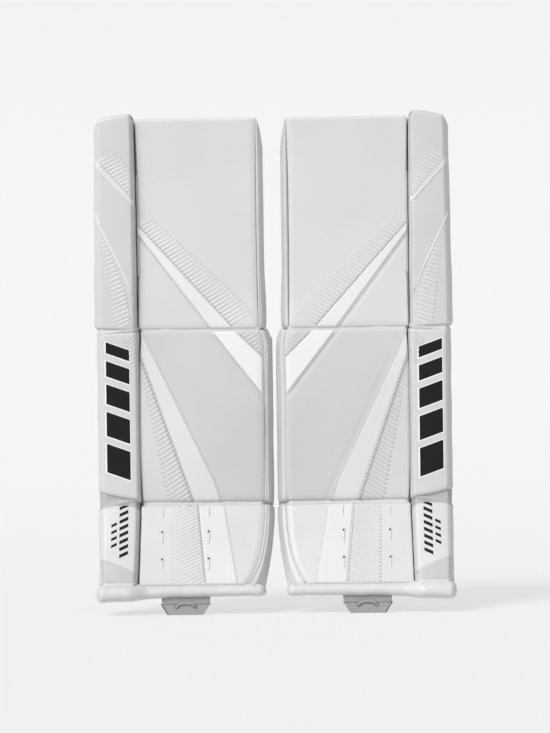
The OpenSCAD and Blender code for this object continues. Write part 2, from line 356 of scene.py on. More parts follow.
def rounded_ring(corners, arc=5):
    """A closed ring through corners (u, d, radius, samples to the next corner, tag)."""
    arcs = []
    for i, (u, d, radius, _, _) in enumerate(corners):
        here = Vector((u, d))
        if radius == 0:
            arcs.append([here])
            continue
        to_last = (Vector(corners[i - 1][:2]) - here).normalized()
        to_next = (Vector(corners[(i + 1) % len(corners)][:2]) - here).normalized()
        half = math.acos(clamp(to_last.dot(to_next), -0.9999, 0.9999)) / 2
        cut = radius / math.tan(half)
        centre = here + (to_last + to_next).normalized() * radius / math.sin(half)
        first, last = here + to_last * cut - centre, here + to_next * cut - centre
        turn = first.angle_signed(last)
        arcs.append([])
        for k in range(arc + 1):
            c, s = math.cos(-turn * k / arc), math.sin(-turn * k / arc)
            arcs[i].append(centre + Vector((first.x * c - first.y * s, first.x * s + first.y * c)))
    ring = []
    for i, (_, _, _, samples, tag) in enumerate(corners):
        ring += [(p, tag) for p in arcs[i]]
        here, there = arcs[i][-1], arcs[(i + 1) % len(corners)][0]
        ring += [(here.lerp(there, (k + 1) / (samples + 1)), tag) for k in range(samples)]
    return ring


def end_inset(x, depth, length):
    if length <= 0 or x >= length:
        return 0.0
    return depth * (1 - math.sqrt(max(0.0, 1 - (1 - x / length) ** 2)))


def skin(loops):
    """Faces between successive closed loops of vertex numbers."""
    return [[a[k], a[(k + 1) % len(a)], b[(k + 1) % len(a)], b[k]]
            for a, b in zip(loops, loops[1:]) for k in range(len(a))]


def extrusion(corners_at, low_at, high_at, span, low_end, high_end, detail=None, spacing=3.0, crown=0.0):
    """A closed padded bar. corners_at(v) is its ring at a height, low_at(u, d) and high_at(u, d) are
    the heights of its ends, and an end draws in by (depth, length). detail(u, d, v, tag) is how far
    a point stands out along its normal. span is the nominal (low, high)."""
    verts, rings = [], []
    for height in steps(*span, spacing, 1.1, max(low_end[1], high_end[1]) + 2):
        t = (height - span[0]) / (span[1] - span[0])
        ring = rounded_ring(corners_at(height))
        points = [p for p, _ in ring]
        area = sum(points[i - 1].x * p.y - p.x * points[i - 1].y for i, p in enumerate(points))
        rings.append([])
        for i, (p, tag) in enumerate(ring):
            along = points[(i + 1) % len(points)] - points[i - 1]
            normal = Vector((along.y, -along.x)).normalized() * (1 if area > 0 else -1)
            low, high = low_at(p.x, p.y), high_at(p.x, p.y)
            v = lerp(low, high, t)
            inset = end_inset(v - low, *low_end) + end_inset(high - v, *high_end)
            out = detail(p.x, p.y, v, tag) if detail else 0.0
            q = p + normal * (out - inset)
            rings[-1].append(len(verts))
            verts.append((q.x, q.y, v))
    faces = skin(rings)
    tags = [tag for _, tag in ring] * (len(rings) - 1)
    for loop, up, end_at in ((rings[0], -1, low_at), (rings[-1], 1, high_at)):
        centre = sum((Vector(verts[i]) for i in loop), Vector()) / len(loop)
        centre.z = end_at(centre.x, centre.y)
        last = loop
        for k in (0.1, 0.25, 0.45, 0.7):
            inner = [len(verts) + i for i in range(len(loop))]
            for i in loop:
                p = Vector(verts[i]).lerp(centre, k)
                verts.append((p.x, p.y, end_at(p.x, p.y) + up * crown * (1 - (1 - k) ** 2)))
            faces += skin([last, inner])
            last = inner
        verts.append((centre.x, centre.y, centre.z + up * crown))
        faces += [[last[i], last[(i + 1) % len(loop)], len(verts) - 1] for i in range(len(loop))]
    return verts, faces, tags + ["end"] * (len(faces) - len(tags))


def tube(points, radius, sides=8, closed=False, flat=1.0):
    """A tube along points, or round a loop; flat squeezes it towards d."""
    points = [Vector(p) for p in points]
    count = len(points)
    verts, normal = [], None
    for i, p in enumerate(points):
        before = points[i - 1] if closed or i else p
        after = points[(i + 1) % count] if closed or i < count - 1 else p
        along = (after - before).normalized()
        if normal is None:
            normal = along.orthogonal().normalized()
            if abs(along.y) < 0.9:
                normal = (Vector((0, 1, 0)) - along * along.y).normalized()
        normal = (normal - along * normal.dot(along)).normalized()
        side = along.cross(normal)
        for k in range(sides):
            angle = 2 * math.pi * k / sides
            verts.append(tuple(p + normal * (math.cos(angle) * radius * flat)
                               + side * (math.sin(angle) * radius)))
    loops = [[i * sides + k for k in range(sides)] for i in range(count)]
    faces = skin(loops + loops[:1]) if closed else skin(loops) + [loops[0], loops[-1]]
    return verts, faces, ["tube"] * len(faces)


def slab(top, bottom):
    """A closed sheet from two grids of points of the same size."""
    rows, cols = len(top), len(top[0])
    verts = [p for grid in (top, bottom) for row in grid for p in row]
    base = rows * cols
    faces = []
    for i in (r * cols + c for r in range(rows - 1) for c in range(cols - 1)):
        faces.append([i, i + 1, i + cols + 1, i + cols])
        faces.append([base + i, base + i + cols, base + i + cols + 1, base + i + 1])
    rim = list(range(cols)) + [r * cols + cols - 1 for r in range(1, rows)]
    rim += [(rows - 1) * cols + c for c in range(cols - 2, -1, -1)]
    rim += [r * cols for r in range(rows - 2, 0, -1)]
    faces += [[a, base + a, base + b, b] for a, b in zip(rim, rim[1:] + rim[:1])]
    return verts, faces, ["slab"] * len(faces)


# ---------------------------------------------------------------- work laid on a surface

SURFACES, TREES = {}, {}


def add_surface(section, mesh):
    SURFACES.setdefault(section, []).append(mesh)
    TREES.pop(section, None)


def lifted(section, u, v, height):
    """A point above a section's front surface, or above a surface that has its own placing function."""
    if callable(section):
        return tuple(section(u, v, height))
    if section not in TREES:
        TREES[section] = BVHTree.FromPolygons(*join(*SURFACES[section])[:2])
    hit, normal, _, _ = TREES[section].ray_cast(Vector((u, 200, v)), Vector((0, -1, 0)))
    if hit is None:
        return u, FACE_D + height, v
    return tuple(Vector((u, hit.y, v)) + normal * (height if normal.y > 0 else -height))


def polyline_length(points):
    return sum((Vector(b) - Vector(a)).length for a, b in zip(points, points[1:]))


def along_line(points, t):
    """The point at a share t of a polyline's length."""
    want, done = t * polyline_length(points), 0.0
    for a, b in zip(points, points[1:]):
        a, b = Vector(a), Vector(b)
        piece = (b - a).length
        if done + piece >= want - 1e-9:
            return a.lerp(b, (want - done) / max(piece, 1e-9))
        done += piece
    return Vector(points[-1])


def strip(section, left, right, height=0.9, bevel=1.3, spacing=2.6, below=0.7):
    """A flat band laid on the surface between two lines, each a list of (u, v) points."""
    rows = max(2, int(max(polyline_length(left), polyline_length(right)) / spacing))
    width = max((Vector(a) - Vector(b)).length for a, b in zip(left, right))
    cols = max(4, int(width / spacing))
    rim = min(0.3, bevel / max(width, 1))
    across = sorted({0.0, rim, 1 - rim, 1.0} | {i / cols for i in range(1, cols)})
    top, bottom = [], []
    for r in range(rows + 1):
        a, b = along_line(left, r / rows), along_line(right, r / rows)
        gap = max((a - b).length, 0.01)
        points = [a.lerp(b, w) for w in across]
        rises = []
        for w in across:
            edge = clamp(min(w, 1 - w) * gap / bevel)
            rises.append(height * math.sqrt(max(0.0, 1 - (1 - edge) ** 2)) * clamp(min(r, rows - r) * 2.0))
        top.append([lifted(section, p.x, p.y, rise + 0.02) for p, rise in zip(points, rises)])
        bottom.append([lifted(section, p.x, p.y, -below) for p in points])
    return slab(top, bottom)


def reach(start, along, limits):
    """How far a ray from start goes before the nearest limit line."""
    best = 200.0
    for a, b in limits:
        away, edge = Vector(a) - start, Vector(b) - Vector(a)
        cross = along.x * edge.y - along.y * edge.x
        if abs(cross) > 1e-9:
            t = (away.x * edge.y - away.y * edge.x) / cross
            best = min(best, t) if t > 0 else best
    return best


def ribs(section, base, angle, limits, pitch=6.2, width=4.0, height=1.0, fade=0.8, rows=10):
    """Raised ribs at an angle, from a line of (u, v) points to the nearest limit line, fading out."""
    along = Vector((math.cos(math.radians(angle)), math.sin(math.radians(angle))))
    side = Vector((-along.y, along.x))
    count = int(polyline_length(base) / pitch)
    parts = []
    for start in (along_line(base, (i + 0.5) / count) for i in range(count)):
        length = reach(start, along, limits)
        if length < 3:
            continue
        top, bottom = [], []
        for x in (r / rows for r in range(rows + 1)):
            rise = height * min(1.0, 6 * x + 0.15) * (1 - x) ** fade
            half = width / 2 * (1 - 0.35 * x)
            row = [(w, start + along * (x * length) + side * (w * half)) for w in (-1, -0.6, 0, 0.6, 1)]
            top.append([lifted(section, p.x, p.y, rise * (1 - w * w) + 0.01) for w, p in row])
            bottom.append([lifted(section, p.x, p.y, -0.5) for _, p in row])
        parts.append(slab(top, bottom))
    return join(*parts)


def stitches(section, path, pitch=4.6, length=3.1, lift=0.0):
    """A row of stitches along a line of (u, v) points: short thin tubes that close at both ends."""
    radius, sunk, sides = 0.42, 0.12, 6
    total = polyline_length(path)
    parts = []
    for i in range(int(total / pitch)):
        points = []
        for k in (-1, -0.8, 0, 0.8, 1):
            p = along_line(path, clamp(((i + 0.5) * pitch + k * length / 2) / total))
            points.append(lifted(section, p.x, p.y, radius * (1 - k * k) - sunk + lift))
        verts, faces, tags = tube(points, radius, sides)
        for end in (0, len(points) - 1):
            for k in range(end * sides, (end + 1) * sides):
                verts[k] = tuple(Vector(points[end]).lerp(Vector(verts[k]), 0.35))
        parts.append((verts, faces, tags))
    return join(*parts)


def piping(section, path, radius, lift, spacing=3.0):
    """A round piped edge along a line of (u, v) points."""
    count = max(2, int(polyline_length(path) / spacing))
    points = [along_line(path, i / count) for i in range(count + 1)]
    return tube([lifted(section, p.x, p.y, lift) for p in points], radius)


# ---------------------------------------------------------------- face sections


def crease(d, cut):
    """How far a section's end, cut at an angle, stands back from the hinge line at a depth."""
    return CREASE_GAP + max(d, 0) * math.tan(cut)


def case_corners(inner, seam, groove):
    """The ring of a face section: rear, side wall, rounded edge strip, face and groove wall."""
    shoulder = max(3.5, (seam - inner) * 0.45)
    return [(inner, BACK_T + 0.4, 2, 3, "side"), (inner, 25, 7, 5, "strip"),
            (seam - shoulder, FACE_D - 4.4, 3, 4, "strip"), (seam, FACE_D - 2.8, 0.8, 10, "face"),
            (seam + 11, FACE_D, 0, 62, "face"), (groove - 0.7, FACE_D, 3, 6, "wall"),
            (groove - 0.7, BACK_T + 0.4, 2, 12, "rear")]


def seam_dip(u, seam):
    """The sewn line at a seam, with the panel beside it rounding over towards it."""
    across = clamp((u - seam) / 11)
    rounding = 2.4 * across * (1 - across) if u > seam else 0.0
    return rounding - 0.85 * math.exp(-(u - seam) ** 2)


def thigh_inner(v):
    return THIGH_IN + 9 * clamp((v - 288) / 53) ** 1.8 - 2.5 * smooth((110 - v) / 90)


def thigh_outer(v):
    return THIGH_OUT - 5 * clamp(v / THIGH_LEN) ** 1.3


def shin_inner(v):
    return 7.5 * clamp((v - (KNEE_Z - 30)) / 30) ** 2


def boot_down(v):
    return clamp((-v - 20) / (BOOT_LEN - 20))


def boot_inner(v):
    return 16 * boot_down(v) ** 1.6


def boot_outer(v):
    return PAD_W - 1.5 * boot_down(v)


def boot_groove(v):
    return GROOVE + 2 + 3 * boot_down(v)


THIGH_GROOVE = GROOVE + THIGH_OUT - PAD_W
STRIP_W = 13.0


def thigh_seam(v):
    return THIGH_IN + STRIP_W - 2.8


def shin_seam(v):
    return shin_inner(v) + STRIP_W + 1.5 * smooth((KNEE_Z - 40 - v) / 60)


def boot_seam(v):
    return STRIP_W + 0.5 + 8 * boot_down(v) + 25 * boot_down(v) ** 3.6


THIGH_BOTTOM = CREASE_GAP + FACE_D * math.tan(KNEE_CUT) + 0.6
SHIN_TOP = KNEE_Z - THIGH_BOTTOM
SHIN_BOTTOM = BOOT_Z + CREASE_GAP + FACE_D * math.tan(ANKLE_CUT) + 0.6
BOOT_TOP = BOOT_Z - SHIN_BOTTOM
BOOT_BOTTOM = -BOOT_LEN + 1.5
BOOT_END = -BOOT_LEN - 7

# The upper band runs from the groove down and inwards across the knee, between lines A and B.
THIGH_A, THIGH_B = ((212.5, 160), (92.5, 0)), ((212.5, 171.5), (58.7, 0))
SHIN_A, SHIN_B = ((96.4, 452), (16, 349)), ((62.3, 452), (16, 407))
THIGH_FADE = ((211, 216), (60, 62), (24, 28))
# The lower band runs from the groove below the knee down to the toe, between lines R and N.
SHIN_R, SHIN_N = ((211.8, 421.6), (126.3, 177)), ((208.6, 451), (95.5, 209.4), (85.7, 177))
BOOT_R, BOOT_N = ((120.5, -11), (108, -146.5)), ((81, -11), (59, -146.5))


def crown(u, v, low, high, inner, outer, amount):
    """How a face swells: fullest at the middle of its panel."""
    x = clamp((u - inner) / (outer - inner)) * 2 - 1
    y = clamp((v - low) / (high - low)) * 2 - 1
    return amount * (1 - x * x) * (1 - y ** 4)


def valley(u, v, line, offset=-4.5, width=3.6, depth=1.1):
    """A soft valley alongside a straight sewn line."""
    a, b = Vector(line[0]), Vector(line[1])
    along = (b - a).normalized()
    away = (u - a.x) * along.y - (v - a.y) * along.x
    return -depth * math.exp(-((away - offset) / width) ** 2)


def slack(front, seam_at, seed, strip_wave, side_wave):
    """A face section's detail: front(u, v) on its face, and slack leather, by (amount, size) of its
    ripples, on its edge strip and its sides."""
    def detail(u, d, v, tag):
        if tag == "face" or (tag == "wall" and d > FACE_D - 6):
            return front(u, v) + seam_dip(u, seam_at(v))
        if tag == "strip":
            return seam_dip(u, seam_at(v)) + strip_wave[0] * ripple(d * 2, v, seed + 8.3, strip_wave[1])
        return 0.0 if tag == "rear" else side_wave[0] * ripple(d * 3, v, seed + 5.7, side_wave[1])
    return detail


def thigh_front(u, v):
    hollow = 5.0 * (v / THIGH_LEN * 2 - 1) ** 2 - 4.5
    swell = crown(u, v, 0, THIGH_LEN, 24, THIGH_GROOVE, 1.2)
    return hollow + swell + valley(u, v, THIGH_A) + 0.45 * ripple(u, v, 3.1)


def shin_front(u, v):
    bow = 5.0 * (1 - ((v - BOOT_Z) / (KNEE_Z - BOOT_Z) * 2 - 1) ** 2) - 1.5
    swell = crown(u, v, BOOT_Z, KNEE_Z, 14, GROOVE, 1.0)
    upper = valley(u, v, SHIN_A) if v > 330 else 0.0
    lower = valley(u, v, SHIN_N, 4.0, 3.2, 0.8) if v < 400 else 0.0
    return bow + swell + upper + lower + 0.45 * ripple(u, v, 13.1)


def boot_front(u, v):
    return crown(u, v, -BOOT_LEN, 0, 14, GROOVE, 1.4) + 0.6 * ripple(u, v, 23.1, 45)


def covered(name, section, mesh, looks, replaces, slot, fill, tagged=()):
    """A padded piece that others can be laid on."""
    add_surface(section, mesh)
    emit(name, section, mesh, looks, section, replaces, slot, fill, tagged)


def thigh_case():
    def top(u, d):
        return THIGH_LEN - 3.5 * clamp((24 - u) / 13) - 0.06 * (FACE_D - d)

    mesh = extrusion(lambda v: case_corners(thigh_inner(v), thigh_seam(v), THIGH_GROOVE),
                     lambda u, d: crease(d, KNEE_CUT), top, (0, THIGH_LEN), (3.2, 13), (3.5, 5),
                     slack(thigh_front, thigh_seam, 0, (0.5, 40), (0.6, 50)))
    covered("thigh_case", "thigh", mesh, [FACE, GUSSET], ("thigh_cover", "thigh_core", "thigh_board"),
            "face_leather", 0.9, ("face",))


def shin_case():
    """The shin's face, with lighter leather outside the lower band."""
    verts, faces, tags = mesh = extrusion(
        lambda v: case_corners(shin_inner(v), shin_seam(v), GROOVE),
        lambda u, d: BOOT_Z + crease(d, ANKLE_CUT), lambda u, d: KNEE_Z - crease(d, KNEE_CUT),
        (BOOT_Z, KNEE_Z), (3.4, 11), (2.2, 4), slack(shin_front, shin_seam, 10, (0.6, 40), (0.8, 50)))
    top, low = (Vector(r).lerp(Vector(n), 0.5) for r, n in zip(SHIN_R, (SHIN_N[0], SHIN_N[2])))
    for i, (face, tag) in enumerate(zip(faces, tags)):
        u, _, v = verts[face[0]]
        if tag == "face" and u > lerp(top.x, low.x, (top.y - v) / (top.y - low.y)):
            tags[i] = "outer"
    covered("shin_case", "shin", mesh, [SHIN_FACE, SHIN_OUTER, GUSSET],
            ("shin_cover", "shin_core", "shin_board"), "face_leather", 0.9, ("face", "outer"))


def boot_case():
    mesh = extrusion(lambda v: case_corners(boot_inner(v), boot_seam(v), boot_groove(v)),
                     lambda u, d: BOOT_END, lambda u, d: -crease(d, ANKLE_CUT), (BOOT_END, 0), (3, 6), (3, 5),
                     slack(boot_front, boot_seam, 20, (0.8, 30), (0.8, 40)))
    covered("boot_case", "boot", mesh, [WHITE], ("boot_cover", "boot_core"), "white_leather", 0.9)


# ---------------------------------------------------------------- outer roll


ROLL_EDGE = 7.5


def roll_corners(inner, outer, rear=8):
    """The ring of an outer roll: groove wall, facet, front, sewn outer strip and outer wall."""
    return [(inner + 0.7, rear, 2, 4, "wall"), (inner + 0.7, 43, 3, 5, "facet"),
            (inner + 6.5, ROLL_D - 0.6, 4, 16, "front"), (outer - ROLL_EDGE, ROLL_D - 0.4, 3, 4, "edge"),
            (outer, ROLL_D - 15, 9, 6, "outer"), (outer, rear, 3, 10, "rear")]


def stuffed(outer_at):
    """A roll's detail: fullest along its middle, and sewn down along its outer strip."""
    def detail(u, d, v, tag):
        if tag == "rear":
            return 0.0
        if tag in ("outer", "wall"):
            return 0.9 * ripple(d * 2, v, 35.7, 45)
        sewn = -1.1 * math.exp(-((u - outer_at(v) + ROLL_EDGE) / 1.2) ** 2)
        full = 1.2 * math.sin(math.pi * clamp((u - GROOVE - 6) / 58))
        return 0.5 * ripple(u, v, 33.1, 40) + full + sewn
    return detail


def roll_share(u):
    return clamp((u - GROOVE) / (PAD_W - GROOVE))


def thigh_roll():
    def top(u, d):
        peak, end = THIGH_GROOVE + 8, thigh_outer(THIGH_LEN)
        if u > peak:
            fall = 10 * ((u - peak) / (end - peak)) ** 1.5 + 9 * clamp((u - end + 7) / 7) ** 2.4
        else:
            fall = 9 * clamp((peak - u) / 7.5) ** 1.3
        return THIGH_LEN + 9 - fall - 0.08 * (ROLL_D - d)

    mesh = extrusion(lambda v: roll_corners(THIGH_GROOVE, thigh_outer(v)),
                     lambda u, d: crease(d, KNEE_CUT) + 3 * roll_share(u) ** 1.5, top,
                     (0, THIGH_LEN), (2.6, 4), (4.5, 6), stuffed(thigh_outer), crown=1.5)
    covered("thigh_roll", "thigh", mesh, [ROLL], ("thigh_roll",), "padded_grey", 0.85)


def shin_roll():
    mesh = extrusion(lambda v: roll_corners(GROOVE, PAD_W),
                     lambda u, d: BOOT_Z + crease(d, ANKLE_CUT) + 14 * roll_share(u) ** 1.5,
                     lambda u, d: KNEE_Z - crease(d, KNEE_CUT) - 2.5 * roll_share(u) ** 1.5,
                     (BOOT_Z, KNEE_Z), (4, 7), (2.4, 4), stuffed(lambda v: PAD_W))
    covered("shin_roll", "shin", mesh, [ROLL], ("shin_roll",), "padded_grey", 0.85)


def boot_roll():
    mesh = extrusion(lambda v: roll_corners(boot_groove(v), boot_outer(v)), lambda u, d: BOOT_END,
                     lambda u, d: -crease(d, ANKLE_CUT) - 5 * (2 * roll_share(u) - 1) ** 2,
                     (BOOT_END, 0), (3, 6), (5, 7), stuffed(boot_outer))
    covered("boot_roll", "boot", mesh, [WHITE], ("boot_roll",), "padded_white", 0.85)


def signed_power(x, power):
    return math.copysign(abs(x) ** power, x)


def toe_roll():
    """The stuffed roll across the toe: softly uneven, level underneath and round at both ends."""
    first, last, stations, around = 13.0, PAD_W + 3.0, 190, 44
    top = -BOOT_LEN + 4.5
    tucks = [first + 16 + 29 * k + 7 * ripple(k * 60, 0, 9.0) for k in range(9)]
    verts = []
    for t in (i / stations for i in range(stations + 1)):
        u = first + (last - first) * (t - 0.5 * math.sin(2 * math.pi * t) / math.pi * 0.75)
        front = FACE_D + 4.5 + (ROLL_D - FACE_D - 1.5) * smooth((u - GROOVE + 14) / 36)
        level = TOE_Z + 7.0 - 6.5 * smooth((u - 150) / 110) - 2.2 * smooth((u - 262) / 20)
        level += 1.6 * ripple(u, 0, 41.0, 30)
        bulb = math.sqrt(clamp(1 - (1 - clamp(min(u - first, last - u) / 12)) ** 2.2))
        dip = 2.2 * sum(math.exp(-((u - tuck) / 1.9) ** 2) for tuck in tucks)
        for k in range(around):
            angle = 2 * math.pi * k / around
            across, high = signed_power(math.cos(angle), 0.85), signed_power(math.sin(angle), 0.92)
            d = (front + 3) / 2 + (front - 3) / 2 * across * (0.12 + 0.88 * bulb)
            bottom = (level - BOOT_Z - d * math.sin(KICK)) / math.cos(KICK)
            soft = 0.8 * ripple(u, angle * 9, 43.0, 24)
            v = (top + bottom) / 2 + ((top - bottom) / 2 + soft) * high * bulb
            verts.append((u, d + soft * across - dip * clamp(high * 2 - 0.3), v))
    rings = [[i * around + k for k in range(around)] for i in range(stations + 1)]
    faces = skin(rings) + [rings[0], rings[-1]]
    covered("toe_roll", "boot", (verts, faces, ["toe"] * len(faces)), [WHITE], ("toe_roll",),
            "padded_white", 0.7)


# ---------------------------------------------------------------- creases


def gusset(joint, upper, tilt, sink, inner, heights, slot, looks):
    """The folded leather in a crease, seen between two sections."""
    face_d, roll_d = FACE_D / math.cos(tilt / 2) - sink, ROLL_D / math.cos(tilt / 2) - sink
    rear = BACK_T + heights[1] * math.sin(tilt / 2) + 3
    edge = PAD_W - 1.8

    def fold(u, d, v, tag):
        ridge = math.exp(-((v - heights[1] * (0.35 - 0.8 * roll_share(u))) / 2.6) ** 2) if u > GROOVE else 0
        return 2.4 * ridge + 0.8 * ripple(u, v * 4, tilt * 90, 30)

    face = [(inner, rear, 2, 4, "plug"), (inner, 27, 6, 4, "plug"), (20, face_d - 1, 4, 60, "plug"),
            (GROOVE - 3, face_d, 5, 3, "plug"), (GROOVE + 2, 33, 3, 4, "plug"),
            (GROOVE + 2, rear, 2, 12, "plug")]
    roll = [(GROOVE + 2, rear, 2, 4, "fold"), (GROOVE + 2, 38, 3, 4, "fold"),
            (GROOVE + 9.5, roll_d, 5, 16, "fold"), (PAD_W - 8, roll_d, 4, 4, "fold"),
            (edge, ROLL_D - 16, 7, 6, "fold"), (edge, rear, 2, 8, "fold")]
    parts = [extrusion(lambda v: corners, lambda u, d: -half, lambda u, d: half,
                       (-half, half), (4, 6), (4, 6), fold, spacing=1.6)
             for corners, half in ((face, heights[0]), (roll, heights[1]))]
    pieces = emit(f"{joint}_gusset", joint, join(*parts), looks, slot=slot, fill=0.5, tagged=("plug",))
    bend(pieces, joint, upper)


# ---------------------------------------------------------------- sewn details


def between(line, low, high):
    """The part of a straight (u, v) line between two heights, from its top down."""
    top, bottom = sorted((Vector(p) for p in line), key=lambda p: -p.y)
    return [tuple(top.lerp(bottom, clamp((top.y - v) / (top.y - bottom.y)))) for v in (high, low)]


def upright(u):
    return (u, -500), (u, 500)


def level(v):
    return (0, v), (300, v)


def beside(line, distance):
    """A straight line moved sideways by a distance."""
    a, b = Vector(line[0]), Vector(line[-1])
    along = (b - a).normalized()
    side = Vector((-along.y, along.x)) * distance
    return [tuple(a + side), tuple(b + side)]


def bands():
    """The raised bands: one down across the knee, one down the shin to the toe, two on the roll."""
    thigh = between(THIGH_A, THIGH_BOTTOM, 165), between(THIGH_B, THIGH_BOTTOM, 175)
    shin = between(SHIN_A, 300, SHIN_TOP), between(SHIN_B, 300, SHIN_TOP)
    lower = [(210.6, 417), SHIN_R[1]], [(208.9, SHIN_TOP), SHIN_N[1], SHIN_N[2]]
    for name, section, lines, height, looks in (
            ("upper_band_thigh", "thigh", thigh, 0.9, BAND), ("upper_band_shin", "shin", shin, 0.9, BAND),
            ("lower_band_shin", "shin", lower, 0.45, LOWER_BAND),
            ("lower_band_boot", "boot", (BOOT_R, BOOT_N), 0.6, LOWER_BAND)):
        trim(name, section, [strip(section, *lines, height=height, spacing=2.4)], looks)
    curved = ([(279, 194), (262, 158), (243, 118), (226, 78), (219, 52)],
              [(275, 180), (257, 141), (238, 101), (223, 66), (218, 44)])
    straight = [(277, 279.5), (216.5, 212.5)], [(277, 267), (216.5, 201.5)]
    trim("roll_band", "thigh",
         [strip("thigh", *lines, height=0.8, spacing=2.0) for lines in (curved, straight)], BAND)


def rib_fields():
    """The fans of raised ribs beside the bands."""
    curve = [(272, 172), (255, 132), (240, 94), (230, 60), (226, 30), (226, 14)]
    thigh = [ribs("thigh", between(THIGH_B, 8, 172), 150, [THIGH_FADE[:2], THIGH_FADE[1:], upright(26)],
                  6.3, 4.3, 1.25, 1.5),
             ribs("thigh", [(274, 277), (219, 216)], 153, [((281, 322), (217, 262)), upright(219)],
                  6.2, 4.2, 1.0, 1.4),
             ribs("thigh", curve, -22, [upright(275), ((266, 130), (251, 8)), level(10)], 6.8, 4.5)]
    shin = [ribs("shin", between(SHIN_B, 409, SHIN_TOP), 150, [level(SHIN_TOP - 1), upright(17.5)], 6.3, 4.3),
            ribs("shin", [(208, 411), (127, 181)], -34, [((213, 405), (168, 170)), upright(211)], 6.8, 4.4),
            ribs("shin", [(219, 449), (219, 394)], -38, [((243, 452), (223, 392))], 6.4, 4.0, 0.8)]
    boot = [ribs("boot", between(BOOT_R, BOOT_BOTTOM, 20), -25, [((166, 0), (163, -150)), level(BOOT_BOTTOM)],
                 5.9, 4.1),
            ribs("boot", [(158, -13.5), (BOOT_R[0][0] + 4, -13.5)], -25, [upright(165)], 14.0, 4.1)]
    for section, parts, looks, slot in (("thigh", thigh, FACE, "face_leather"),
                                        ("shin", shin, SHIN_FACE, "face_leather"),
                                        ("boot", boot, WHITE, "white_leather")):
        trim(f"{section}_ribs", section, parts, looks, slot)


def sewing():
    """Rows of stitches along the bands and the roll's seams, each with its height."""
    thigh = [(beside(between(THIGH_A, THIGH_BOTTOM, 165), 2.2), 0.9),
             (beside(between(THIGH_B, THIGH_BOTTOM, 175), -2.2), 0.9),
             ([(276, 275), (218, 211)], 0.8), ([(276, 269.5), (219, 206)], 0.8),
             ([(271, 177), (254, 138), (235, 98), (221, 63), (216.5, 42)], 0.0)]
    shin = [(beside(between(SHIN_A, 300, SHIN_TOP - 4), 2.2), 0.9),
            (beside(between(SHIN_B, 300, SHIN_TOP - 4), -2.2), 0.9),
            (beside([(210.6, 417), SHIN_R[1]], 2.2), 0.9), (beside([(211.4, 421), SHIN_R[1]], 4.4), 0.9)]
    boot = [(beside(BOOT_R, 2.2), 0.9),
            ([(22, BOOT_BOTTOM + 1), (boot_groove(-BOOT_LEN) - 6, BOOT_BOTTOM + 1)], 0.0),
            ([(222, -134), (278, -110)], 0.0)]
    for section, rows, slot in (("thigh", thigh, "face_leather"), ("shin", shin, "face_leather"),
                                ("boot", boot, "white_leather")):
        trim(f"{section}_stitches", section, [stitches(section, line, lift=lift) for line, lift in rows],
             THREAD, slot)


def seam_line(seam_at, low, high, spacing=6.0):
    return [(seam_at(v) - 1.7, v) for v in steps(low, high, spacing)]


def piped_seams():
    """Piped edges: each line, with its radius and its lift."""
    thigh = [(seam_line(thigh_seam, THIGH_BOTTOM + 1, THIGH_LEN - 4), 0.8, 0.1),
             ([(275, 279), (218, 215.5)], 0.8, 0.2)]
    shin = [(seam_line(shin_seam, SHIN_BOTTOM + 1, SHIN_TOP - 1), 0.8, 0.1),
            ([(208.9, SHIN_TOP - 1), SHIN_N[1], SHIN_N[2]], 0.9, 0.5)]
    boot = [(seam_line(boot_seam, BOOT_BOTTOM + 2, BOOT_TOP - 1, 4.0), 1.3, 0.3), (BOOT_N, 0.8, 0.5),
            ([(boot_inner(-BOOT_LEN) + 8, BOOT_BOTTOM), (276, BOOT_BOTTOM)], 0.9, 0.4)]
    for section, lines in (("thigh", thigh), ("shin", shin), ("boot", boot)):
        trim(f"{section}_piping", section, [piping(section, *line) for line in lines], WHITE)


def slanted_bar(section, outer, inner, top, thick, grow, height, fall=0.36):
    """A printed parallelogram between two u values, grown all round by a margin."""
    left, right = outer + grow, inner - grow
    upper = [(left, top + grow), (right, top + grow - (left - right) * fall)]
    lower = [(u, v - thick - 2 * grow) for u, v in upper]
    return strip(section, upper, lower, height=height, bevel=0.5, spacing=2.0, below=0.4)


def roll_marks():
    """Plain slanted bars printed on the rolls, with a white edge."""
    bars, top = [], 435.0
    for thick in (18, 25, 32, 39, 46):
        bars.append((266, 227, top, thick))
        top -= thick + 12
    trim("shin_mark_edge", "shin", [slanted_bar("shin", *bar, 1.6, 0.10) for bar in bars], INK_EDGE)
    trim("shin_mark", "shin", [slanted_bar("shin", *bar, 0, 0.24) for bar in bars], INK, "face_leather")
    bars = [(246, 232, -20 - 11.5 * i, 5.8) for i in range(8)]
    bars += [(259, 250, -50 - 11.5 * i, 4.8) for i in range(4)]
    trim("boot_mark", "boot", [slanted_bar("boot", *bar, 0, 0.22, -0.5) for bar in bars], INK, "face_leather")


def boot_side_panel():
    """The darker panel across the foot of the boot's roll, below a slanting seam."""
    panel = strip("boot", [(274.5, -106), (219, -131)], [(273.5, -146), (221, -146)], height=0.5, bevel=1.0)
    trim("boot_side_panel", "boot", [panel], PANEL, "padded_grey")


LACE_COLUMNS = (104.5, 178.5)
LACE_ROWS = ((16.5, 32), (60.5, 77), (106, 122))
EYELET_DROP = 2.2


